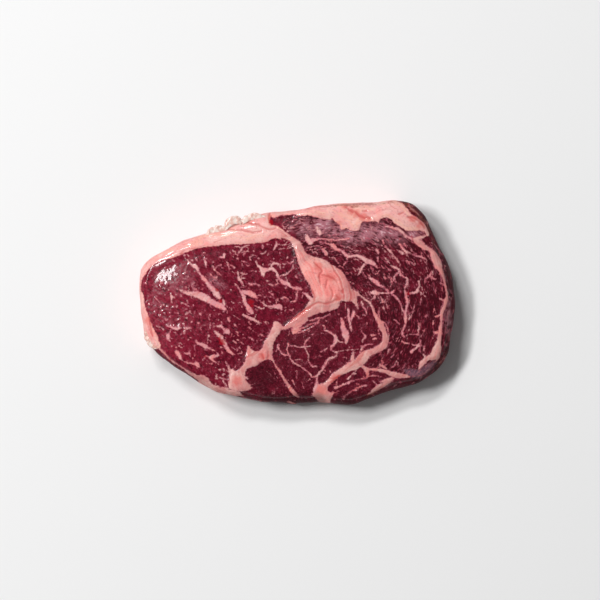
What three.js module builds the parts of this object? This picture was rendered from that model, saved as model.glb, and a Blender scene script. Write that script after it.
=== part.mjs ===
// A raw rib-eye steak lying on one of its two cut faces. Millimetres, +Z up.
// The origin is on the surface that the steak rests on, under the middle of its outline.
// Seen from above, -X is the end of the loin eye and +Y is the edge with the thick fat.
import * as THREE from "three";

const { clamp, lerp, smoothstep } = THREE.MathUtils;

// Driving dimensions
const LENGTH = 158.5; // along X, over the bulge of the side
const WIDTH = 103; // along Y, over the bulge of the side
const THICKNESS = 24; // at the middle of the upper cut face, without its relief

// Section of the rim
const CROWN_DROP = 2.4; // how far the upper face falls from its middle to its shoulder
const LOIN_END_DROP = 1.8; // how much further it falls at the thin loin end
const LOIN_END_START = -48; // where along X that fall starts
const BULGE_HEIGHT = 9; // height of the widest line of the side
const SHOULDER_MEAN = 5.8; // how far the shoulder lies inside the widest line, all round
const SHOULDER_SWING = 2.6; // how much wider than that it is towards SHOULDER_TURN
const SHOULDER_TURN = -Math.PI / 3; // the lower right, where the side slumps outwards most
const FOOT_INSET = 3.4; // how far the side tucks in below its widest line
const SHOULDER_POWER = 2.3; // of the superellipse from the shoulder down to the widest line
const FOOT_POWER = 2.1; // of the one below it

// Density of the faceted skin
const FACE_RINGS = 30; // rings on the upper cut face
const BASE_RINGS = 18; // rings on the lower one, which is flat
const CORNERS = 6; // each ring has this many points more than the one inside it
const RIM_POINTS = FACE_RINGS * CORNERS;
const SHOULDER_STEPS = 5;
const FOOT_STEPS = 3;

// The outline seen from above, anticlockwise from the right-hand end.
const OUTLINE = [
  [79, 1],
  [77, 16],
  [72.5, 27],
  [68, 36.5],
  [63.5, 44.5],
  [57, 50],
  [49, 51.5],
  [41, 50.5],
  [26, 50.5],
  [11, 49],
  [-4, 46],
  [-18, 44.5],
  [-29, 41],
  [-41.5, 36.5],
  [-54, 32.5],
  [-66, 26.5],
  [-75, 21],
  [-79, 14.5],
  [-79.5, 2],
  [-78, -9],
  [-76, -18],
  [-72, -23.5],
  [-63.5, -30.5],
  [-51, -39],
  [-40, -45],
  [-29, -47.5],
  [-16, -49.5],
  [-2, -50],
  [11, -50],
  [26, -51.5],
  [38.5, -47],
  [49, -43],
  [61, -40],
  [70, -34],
  [75.5, -26.5],
  [77.5, -16],
];

// Scraps of fat and skin that the knife left on the side: where, how far out, how long and how high.
const SCRAPS = [
  { x: -42, y: 37, reach: 1.8, spread: 3.2, level: 8, depth: 6 },
  { x: -32, y: 40.5, reach: 2.6, spread: 3.2, level: 7, depth: 6 },
  { x: -23.5, y: 43, reach: 2, spread: 3.4, level: 8, depth: 6 },
  { x: -75.5, y: -19, reach: 1, spread: 3, level: 11, depth: 5 },
  { x: -3, y: -50, reach: 0.9, spread: 2.4, level: 10, depth: 5 },
];

// Seams of fat that stand a little proud of the cut: x, y and half the width at each bend.
const SEAM_SOFTNESS = 1.6;
const SEAMS = {
  kernel: {
    rise: 1,
    path: [
      [0, 28, 1.5],
      [3, 20, 3],
      [8, 13, 6],
      [14, 7, 8.5],
      [21, 6, 6],
      [28, 2, 2],
    ],
  },
  loinSeam: {
    rise: 0.5,
    path: [
      [7, -2, 2.5],
      [-6, -12, 1.6],
      [-11, -14, 2.6],
      [-15, -21, 2.8],
      [-20, -27, 5],
      [-26, -32, 4],
      [-30, -40, 5],
    ],
  },
  loopSeam: {
    rise: 0.5,
    path: [
      [14, -44, 4],
      [17, -38, 2],
      [29, -30, 3],
      [42, -21, 2.6],
      [44, -14, 2.6],
      [38, -4, 1.2],
      [30, 3, 1],
    ],
  },
  capSeam: {
    rise: 0.4,
    path: [
      [60, 32, 1.8],
      [68, 24, 2.2],
      [74, 6, 1.2],
      [71, -16, 1.4],
      [62, -32, 2],
    ],
  },
  loinFat: {
    rise: 0.6,
    path: [
      [-77, 2, 1],
      [-75, 17, 2],
      [-51, 30, 3.6],
      [-34, 34.5, 5],
      [-21, 37, 6.5],
      [-8, 35, 3],
    ],
  },
  capFat: {
    rise: 0.7,
    path: [
      [2, 45.5, 1.6],
      [17, 45.5, 2.5],
      [29, 43, 5.5],
      [44, 46, 4],
      [57, 41, 3],
    ],
  },
};

// Muscles that swell between the seams: middle, half lengths along X and Y, and height.
const MUSCLES = [
  { x: -42, y: -4, across: 36, up: 34, rise: 0.9 },
  { x: 54, y: -2, across: 22, up: 38, rise: 0.8 },
  { x: 6, y: -24, across: 22, up: 20, rise: 0.7 },
  { x: 34, y: -8, across: 10, up: 14, rise: 0.4 },
];

// Slow waves round the side: how far out, how many round the steak, and their turn for each mm up.
const SIDE_WAVES = [
  { reach: 0.35, count: 7, slant: 0.02 },
  { reach: 0.25, count: 17, slant: -0.05 },
  { reach: 0.12, count: 37, slant: 0.03 },
];

// Slow waves of the soft cut face: height, wavelength and direction.
const WAVES = [
  { height: 0.32, length: 47, turn: 0.5 },
  { height: 0.24, length: 31, turn: 2.1 },
  { height: 0.16, length: 19, turn: 1.2 },
];

/** The outline as a closed curve, measured along its own length by a turn from 0 to 1. */
function makeRim() {
  const corners = OUTLINE.map(([x, y]) => new THREE.Vector3(x, y, 0));
  const rim = new THREE.CatmullRomCurve3(corners, true, "centripetal");
  rim.arcLengthDivisions = 1200;
  return rim;
}

/** How far the shoulder lies inside the rim in the direction of a point. */
function shoulderInset(x, y) {
  return SHOULDER_MEAN + SHOULDER_SWING * Math.cos(Math.atan2(y, x) - SHOULDER_TURN);
}

/** 1 on a seam, 0 beside it. */
function seamShare(x, y, path) {
  let gap = Infinity;
  for (let i = 1; i < path.length; i += 1) {
    const [ax, ay, aWidth] = path[i - 1];
    const [bx, by, bWidth] = path[i];
    const run = (x - ax) * (bx - ax) + (y - ay) * (by - ay);
    const along = clamp(run / ((bx - ax) ** 2 + (by - ay) ** 2), 0, 1);
    const away = Math.hypot(x - lerp(ax, bx, along), y - lerp(ay, by, along));
    gap = Math.min(gap, away - lerp(aWidth, bWidth, along));
  }
  return 1 - smoothstep(gap, -SEAM_SOFTNESS, SEAM_SOFTNESS);
}

/** Height of a muscle's swelling over the cut face. */
function swelling(x, y, { x: middleX, y: middleY, across, up, rise }) {
  const share = ((x - middleX) / across) ** 2 + ((y - middleY) / up) ** 2;
  return rise * Math.max(0, 1 - share) ** 2;
}

/** Low relief of the upper cut face: seams, muscles and slow waves. */
function relief(x, y) {
  const seams = Object.values(SEAMS).map(({ rise, path }) => rise * seamShare(x, y, path));
  const muscles = MUSCLES.map((muscle) => swelling(x, y, muscle));
  const waves = WAVES.map(({ height, length, turn }) => {
    const along = x * Math.cos(turn) + y * Math.sin(turn);
    return height * Math.sin((2 * Math.PI * along) / length);
  });
  return Math.max(...seams) + [...muscles, ...waves].reduce((sum, part) => sum + part, 0);
}

/** Height of the upper face; share is 0 at its middle and 1 at its shoulder. */
function faceHeight(x, y, share) {
  const end = smoothstep(-x, -LOIN_END_START, LENGTH / 2);
  return THICKNESS - CROWN_DROP * share ** 4 - LOIN_END_DROP * end ** 2 + relief(x, y);
}

/** Moves a point of the side outwards by its slow unevenness and its scraps. */
function roughenSide(point, turn) {
  const waves = SIDE_WAVES.map(({ reach, count, slant }) => {
    return reach * Math.sin(2 * Math.PI * (count * turn + slant * point.z));
  });
  const scraps = SCRAPS.map(({ x, y, reach, spread, level, depth }) => {
    const along = Math.hypot(point.x - x, point.y - y) / spread;
    return reach * Math.exp(-(along ** 2) - ((point.z - level) / depth) ** 2);
  });
  const out = waves.reduce((sum, part) => sum + part, 0) + Math.max(...scraps);
  const radius = Math.hypot(point.x, point.y);
  point.x += (out * point.x) / radius;
  point.y += (out * point.y) / radius;
  return point;
}

/** A closed ring of the skin, each point placed by its turn round the rim; an empty ring is one point. */
function makeRing(count, place) {
  const points = Math.max(1, count);
  return Array.from({ length: points }, (_, i) => place(i / points));
}

/** The point of the shoulder at a turn round the rim. */
function shoulderAt(rim, turn) {
  const { x, y } = rim.getPointAt(turn);
  const kept = 1 - shoulderInset(x, y) / Math.hypot(x, y);
  return new THREE.Vector2(x * kept, y * kept);
}

/** The rings of the upper cut face, from its middle out to the shoulder. */
function makeFaceRings(rim) {
  return Array.from({ length: FACE_RINGS + 1 }, (_, k) =>
    makeRing(k * CORNERS, (turn) => {
      const share = k / FACE_RINGS;
      const { x, y } = shoulderAt(rim, turn).multiplyScalar(share);
      return new THREE.Vector3(x, y, faceHeight(x, y, share));
    }),
  );
}

/** The rings from below the shoulder down to the widest line of the side. */
function makeShoulderRings(rim) {
  return Array.from({ length: SHOULDER_STEPS }, (_, k) => {
    const angle = (Math.PI / 2) * (1 - (k + 1) / SHOULDER_STEPS);
    const out = Math.cos(angle) ** (2 / SHOULDER_POWER);
    const up = Math.sin(angle) ** (2 / SHOULDER_POWER);
    return makeRing(RIM_POINTS, (turn) => {
      const inner = shoulderAt(rim, turn);
      const outer = rim.getPointAt(turn);
      const top = faceHeight(inner.x, inner.y, 1);
      const x = lerp(inner.x, outer.x, out);
      const y = lerp(inner.y, outer.y, out);
      return roughenSide(new THREE.Vector3(x, y, lerp(BULGE_HEIGHT, top, up)), turn);
    });
  });
}

/** The rings from below the widest line down to the surface that the steak lies on. */
function makeFootRings(rim) {
  return Array.from({ length: FOOT_STEPS }, (_, k) => {
    const angle = ((Math.PI / 2) * (k + 1)) / FOOT_STEPS;
    const inset = FOOT_INSET * (1 - Math.cos(angle) ** (2 / FOOT_POWER));
    const level = BULGE_HEIGHT * (1 - Math.sin(angle) ** (2 / FOOT_POWER));
    return makeRing(RIM_POINTS, (turn) => {
      const { x, y } = rim.getPointAt(turn);
      const kept = 1 - inset / Math.hypot(x, y);
      return roughenSide(new THREE.Vector3(x * kept, y * kept, level), turn);
    });
  });
}

/** The rings of the flat lower cut face, from inside the foot to its middle. */
function makeBaseRings(foot) {
  return Array.from({ length: BASE_RINGS }, (_, k) => {
    const share = 1 - (k + 1) / BASE_RINGS;
    return makeRing((BASE_RINGS - 1 - k) * CORNERS, (turn) => {
      const { x, y } = foot[Math.round(turn * RIM_POINTS) % RIM_POINTS];
      return new THREE.Vector3(x * share, y * share, 0);
    });
  });
}

/** Triangles between two closed rings that may differ in their number of points. */
function stitch(innerStart, innerCount, outerStart, outerCount) {
  const faces = [];
  let i = 0;
  let j = 0;
  while (i < innerCount || j < outerCount) {
    const inner = innerStart + (i % innerCount);
    const outer = outerStart + (j % outerCount);
    if (i === innerCount || (j < outerCount && (j + 1) / outerCount <= (i + 1) / innerCount)) {
      j += 1;
      if (outerCount > 1) faces.push(inner, outer, outerStart + (j % outerCount));
    } else {
      i += 1;
      if (innerCount > 1) faces.push(inner, outer, innerStart + (i % innerCount));
    }
  }
  return faces;
}

/** The closed skin of the steak, brought to the driving dimensions and centred on the origin. */
function makeSteakGeometry() {
  const rim = makeRim();
  const foot = makeFootRings(rim);
  const rings = [
    ...makeFaceRings(rim),
    ...makeShoulderRings(rim),
    ...foot,
    ...makeBaseRings(foot.at(-1)),
  ];
  const faces = [];
  let start = 0;
  for (let k = 1; k < rings.length; k += 1) {
    const next = start + rings[k - 1].length;
    faces.push(...stitch(start, rings[k - 1].length, next, rings[k].length));
    start = next;
  }
  const geometry = new THREE.BufferGeometry().setFromPoints(rings.flat());
  geometry.setIndex(faces);
  geometry.computeBoundingBox();
  const { min, max } = geometry.boundingBox;
  geometry.translate(-(min.x + max.x) / 2, -(min.y + max.y) / 2, -min.z);
  geometry.scale(LENGTH / (max.x - min.x), WIDTH / (max.y - min.y), 1);
  geometry.computeVertexNormals();
  return geometry;
}

const rawBeef = new THREE.MeshStandardMaterial({
  name: "raw_beef",
  color: 0x7d2438,
  roughness: 0.35,
  metalness: 0,
});

const steak = new THREE.Mesh(makeSteakGeometry(), rawBeef);
steak.name = "steak";

const part = new THREE.Group();
part.add(steak);

export default part;
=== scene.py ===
"""A raw rib-eye steak on a pale studio floor, seen from straight above.

The steak lies on its lower cut face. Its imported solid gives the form; this script gives the same form a fine
skin with the grain of the meat, its marbling and its seams of fat as low relief, and a wet finish.
"""

import logging
import math
from collections.abc import Sequence
from dataclasses import dataclass
from enum import Enum

import bmesh
import bpy
import numpy as np
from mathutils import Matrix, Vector, noise


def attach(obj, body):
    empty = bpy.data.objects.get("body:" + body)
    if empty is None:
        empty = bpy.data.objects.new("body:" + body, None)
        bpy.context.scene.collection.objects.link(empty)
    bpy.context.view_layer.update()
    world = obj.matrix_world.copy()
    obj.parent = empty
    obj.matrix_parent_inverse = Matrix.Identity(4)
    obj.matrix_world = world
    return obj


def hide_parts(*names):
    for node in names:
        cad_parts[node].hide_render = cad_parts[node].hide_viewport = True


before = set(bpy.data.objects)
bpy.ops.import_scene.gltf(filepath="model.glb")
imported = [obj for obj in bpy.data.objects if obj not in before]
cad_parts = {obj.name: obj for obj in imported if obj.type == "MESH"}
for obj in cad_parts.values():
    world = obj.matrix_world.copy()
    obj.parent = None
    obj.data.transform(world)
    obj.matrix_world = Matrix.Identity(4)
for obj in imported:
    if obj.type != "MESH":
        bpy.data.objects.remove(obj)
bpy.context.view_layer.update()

LOG = logging.getLogger("steak")
MM = 0.001
NOISE_SEED = 8  # 0 would take the time of day
STAIN_CORE = 0.4  # how much of a stain's radius is at full strength

# The photograph looks straight down, and one of its pixels is half a millimetre on the upper cut face.
PIXEL_MM = 0.5
PHOTO_SIDE_PX = 600
ORIGIN_PX = (297.5, 302.75)

# Numbers of sockets whose names occur more than once on their node.
ATTRIBUTE_VALUE = 2
MIX_SHARE, MIX_UNDER, MIX_OVER, MIX_COLOUR = 0, 6, 7, 2

Bend = tuple[float, float, float]  # x and y in pixels of the photograph, and half the width there
Line = tuple[Bend, ...]
Outline = tuple[tuple[float, float], ...]
Socket = bpy.types.NodeSocket
Sockets = dict[str, Socket]
Tree = bpy.types.NodeTree
Shares = tuple[tuple[str, float], ...]  # how much of each pattern is taken

# Outlines of the broad fat, in pixels of the photograph, running past the rim where they reach it.
RIND: Outline = (
    (160.7, 346.4), (158.6, 340.7), (155.7, 332.9), (152, 325.7), (149.3, 318.6), (145.7, 309.3),
    (144.3, 302), (144.3, 298.6), (142.9, 293.6), (141, 290), (141, 285.7), (141.8, 280.7), (144.3, 275.7),
    (147.9, 270.7), (152, 266.4), (157, 262.9), (162, 260.7), (170.7, 258.6), (175.7, 257), (180.7, 255),
    (185, 252.9), (190.7, 250.7), (195.7, 248.9), (202.9, 247.5), (213.6, 246.4), (220.7, 245.4),
    (231.4, 244.6), (242, 244.3), (255, 243.4), (262.9, 242.5), (267.9, 241.4), (271.4, 239.3),
    (275, 238.2), (279.3, 238.9), (285, 238.6), (287.9, 240), (290.7, 240.5), (292, 236.5), (286, 232),
    (282, 229), (278, 226.5), (274, 224.8), (271, 224), (270, 219), (270, 205), (245, 203), (220, 210),
    (190, 228), (150, 248), (130, 275), (128, 310), (134, 335), (144, 347), (152, 350),
)
KERNEL: Outline = (
    (280, 236), (286, 239), (290, 241.5), (292, 244.5), (294, 249), (295.5, 254), (297, 259), (299, 265),
    (301, 271), (304, 277), (307, 281.5), (309, 284), (310.5, 288), (312, 293), (313, 297.5), (311, 300),
    (308, 302), (306, 306), (303, 310), (300, 313), (297, 315), (293, 318), (289.5, 321.5), (287, 324),
    (284, 326.5), (281.5, 325), (280, 323), (277, 322), (274, 322), (273, 326), (270.5, 331), (268.5, 335),
    (266, 339), (264, 342), (263, 346), (261, 349.5), (258, 351), (254, 350.5), (251, 348.5), (248.5, 345),
    (247, 349), (246.5, 353), (246, 358), (244.5, 362), (242, 366), (240, 368.5), (237, 370.5),
    (235, 370.5), (233, 369), (231, 368.5), (229, 370), (229, 374), (228.6, 379), (228, 384), (229, 388),
    (234, 390.5), (240, 391.5), (247, 391), (253, 388), (251, 386), (255, 383), (250, 384.5), (246.5, 381),
    (245.3, 377), (245.5, 372), (247, 368.5), (251, 367.5), (256, 366), (261, 362.5), (266, 360),
    (270, 360), (274, 362), (273, 358), (272.5, 353), (273, 348), (274, 343), (276, 338.5), (279, 334),
    (281, 331), (285, 330), (290, 328), (292, 327.5), (291.5, 331), (292.5, 334), (295, 333.8), (299, 332),
    (301, 330), (299, 328.5), (302, 326), (305, 323), (308, 320.5), (308, 318), (309, 317), (313, 315.5),
    (318, 314), (324, 312.5), (330, 311), (336, 309.5), (339, 307), (340, 302), (343, 301), (347, 302),
    (350, 301), (353, 303), (356, 306), (358.5, 310), (358, 304), (357, 299), (357.5, 296.5), (360, 295.5),
    (357, 292), (354, 290), (351, 287.5), (350, 284), (348, 281), (346, 278), (345, 275), (343, 272),
    (340, 269.5), (336, 267), (331, 264), (328, 261.5), (324, 259.5), (319, 258), (314, 257), (310, 255),
    (306, 252.5), (304, 249), (302, 245.5), (300, 242), (298, 240), (294, 237.5), (290, 235), (286, 232),
)
CAP_FAT: Outline = (
    (268, 205), (267, 215), (269.3, 216.4), (275.7, 217.5), (280.7, 216), (287.9, 215.4), (293.6, 214.3),
    (297.9, 216), (305, 216), (309.3, 215.7), (315, 217), (320.7, 218.9), (325.7, 219.6), (330.7, 220),
    (332, 218), (335, 222), (339.3, 225), (341.4, 230), (346.4, 228.6), (352, 230.7), (357.9, 230.7),
    (360, 227.9), (361.4, 223.6), (363.6, 221.4), (369.3, 222), (375.7, 221.4), (378.6, 223.6),
    (379.5, 222), (381, 219.4), (384, 217.9), (388, 217.9), (391.5, 219.4), (393.6, 222.6), (397.9, 225.4),
    (402, 227.9), (406.4, 230.7), (413.6, 230.7), (419.3, 230.7), (424.3, 232), (426.4, 235.7), (429, 236),
    (428, 230), (425, 225), (421, 220.5), (416, 217), (411, 214), (409, 210), (406, 207), (403, 203),
    (398, 200.5), (398, 190), (340, 190), (300, 198),
)
BOTTOM_KNOT: Outline = (
    (316.5, 388), (317.5, 384), (320, 384.5), (322, 383.5), (326, 383.5), (328, 386), (327.5, 390),
    (330, 392), (334, 391.5), (333, 396), (331, 400), (328, 406), (320, 404), (315, 398), (312, 393.5),
    (315, 391),
)

# The soft edge that runs along the rind, closed with corners far outside the steak.
RIND_BEVEL: Outline = (
    (146, 274), (151.5, 263.5), (159.3, 260.2), (167, 257.8), (173.6, 254.6), (178, 251), (185, 248.6),
    (192, 246.6), (197, 244.6), (203.6, 241.8), (212, 239.6), (224, 236), (236, 233), (236, 150),
    (100, 150), (100, 290),
)

# Seams between the muscles.
LOOP_SEAM: tuple[Line, ...] = (
    ((357, 293, 1.8), (359.3, 295, 1.2), (365, 299.3, 1.2), (369.3, 302.2, 1.3), (372, 306.5, 1.5),
     (374.3, 312.9, 1.8), (376.4, 317.9, 2.2), (379.3, 321.4, 2.8), (381.4, 325.7, 3.5), (383.6, 330.7, 3),
     (385, 335.7, 3), (385.4, 340, 3.5), (384.3, 344.3, 4), (381.4, 347, 3.8), (377.9, 349.3, 3.5),
     (373.6, 351.4, 3.5), (369.3, 352.9, 3.8), (365, 355.7, 5), (362, 359.3, 5.5), (358.6, 362.9, 5),
     (354.3, 365, 5.5), (349.3, 367, 4.5), (344.3, 370, 4), (339.3, 372.9, 3.5), (335, 375.7, 3.5),
     (330, 381, 3), (326, 385, 3)),
    ((353.6, 352, 0.8), (352.5, 357, 2), (353, 362, 3)),
    ((347, 362.9, 0.8), (347.9, 365, 1.5)),
    ((379, 310.7, 0.8), (379.3, 318.6, 1), (381.4, 320.7, 1), (385, 323.6, 1), (387.5, 328.6, 1),
     (388.6, 334.3, 1), (388.2, 340, 1), (386, 344, 1)),
    ((378.6, 327, 0.8), (378.6, 331.4, 0.8)),
)
LOWER_SEAM: tuple[Line, ...] = (
    ((357, 364, 4), (360.7, 362.5, 2.8), (362, 365.7, 2), (365.7, 368.6, 2), (370.7, 369.3, 1.5),
     (377.9, 370, 1.8), (385, 371.4, 2.2), (390.7, 373.6, 2.8), (395.7, 375, 3.3), (400.7, 375.7, 2.8),
     (406.4, 376.4, 2), (410, 377, 1)),
    ((366, 369.5, 2), (367, 371.4, 2.5), (367.9, 375.7, 1.6), (365.7, 378.6, 0.8)),
    ((367, 377, 0.8), (374.3, 375.7, 0.8), (380.7, 377, 0.8)),
    ((380, 365, 1.2), (383.6, 367, 1.8), (386.4, 368.6, 1)),
    ((382, 381.4, 1.2), (386, 380.5, 2.4), (390, 379.5, 1.6), (388, 383, 1.2)),
)
OUTER_SEAM: tuple[Line, ...] = (
    ((413, 238.5, 1.4), (416.4, 241.4, 3), (420.7, 243.6, 3.5), (423.6, 246.4, 3.5), (427, 248.6, 2.5),
     (430.7, 250, 2.2), (433.6, 254.3, 3.5), (435.7, 259.3, 4.5), (437.9, 264.3, 4.5), (440, 268.6, 3),
     (441.8, 273.6, 2), (443.6, 278.6, 1.5), (445, 283.6, 1.4), (446.4, 290, 1.4), (447, 296.4, 2),
     (445.7, 302, 2.5), (444.3, 307, 2.2), (442, 312.9, 2.2), (441.4, 318.6, 1.8), (441.4, 324.3, 1.6),
     (440.7, 328.6, 2), (440, 333.6, 2.2), (439.3, 338.6, 2.5), (438.6, 344.3, 3), (437, 349.3, 4.5),
     (435.7, 353.6, 5), (432.9, 356.4, 4), (428.6, 357.9, 3), (425, 360.7, 3), (422, 363.6, 3),
     (420, 367, 1.8), (418.6, 369.3, 1)),
    ((416.5, 238.5, 1.6), (420, 237.5, 1.8), (423.6, 236.5, 1.5), (426, 235.5, 0.8)),
    ((440, 298.6, 1), (445, 300.7, 1)),
    ((440.7, 282.9, 1), (445, 285.7, 1)),
    ((435.7, 316.8, 1.2), (438.6, 315.7, 1.2), (441, 314.5, 1)),
    ((435.7, 332.9, 1.5), (439.3, 332, 1.5)),
    ((453.6, 325.7, 0.5), (451.4, 331.4, 0.5)),
    ((412, 377, 0.5), (419.3, 375.6, 0.8), (425, 373, 0.8), (430, 368.6, 0.8), (434.6, 362, 0.8)),
    ((437, 352, 4), (437.6, 357, 2.6), (436, 361.5, 1)),
    ((372, 391.5, 1.6), (378, 387.8, 2.8), (384, 384.8, 2.6), (389, 381, 3), (393, 378.5, 1.6)),
    ((366, 395, 0.6), (371, 393, 1.2), (376, 391, 0.8)),
)
STRAIGHT_SEAM: tuple[Line, ...] = (
    ((273, 360, 1.2), (273.6, 361.4, 1), (275.7, 365.7, 1.2), (279.3, 370.7, 1.3), (282, 375, 1.4),
     (285.7, 381.4, 1.6), (289.3, 387, 2), (292.9, 391.4, 2.4), (296.4, 395.7, 2), (298, 398, 1)),
    ((226, 362, 0.4), (227.9, 365, 1), (229.3, 370, 1.6)),
    ((196.4, 375.7, 1), (200, 376.3, 2), (204, 378.5, 3), (208, 382, 2.6), (211, 385, 1.3), (217, 386.4, 1.2),
     (222, 387.9, 1.2), (228, 388.6, 1.4)),
    ((222, 389, 0.6), (232, 392.3, 1.4), (239.3, 394.3, 1), (243.6, 397.9, 0.7), (253.6, 400, 0.6),
     (269.3, 401.8, 0.5)),
    ((288, 402, 1.3), (291, 403.8, 2), (294.5, 405, 1.2)),
    ((156.4, 345, 1.4), (163.6, 353, 1.4), (170, 359, 1.3), (178, 365, 1), (187, 371, 1.2), (196, 377, 2.4),
     (205, 384, 3.6), (214, 389, 4), (224, 392, 4.2), (236, 393.5, 3.4), (243, 395, 1)),
)

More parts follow.
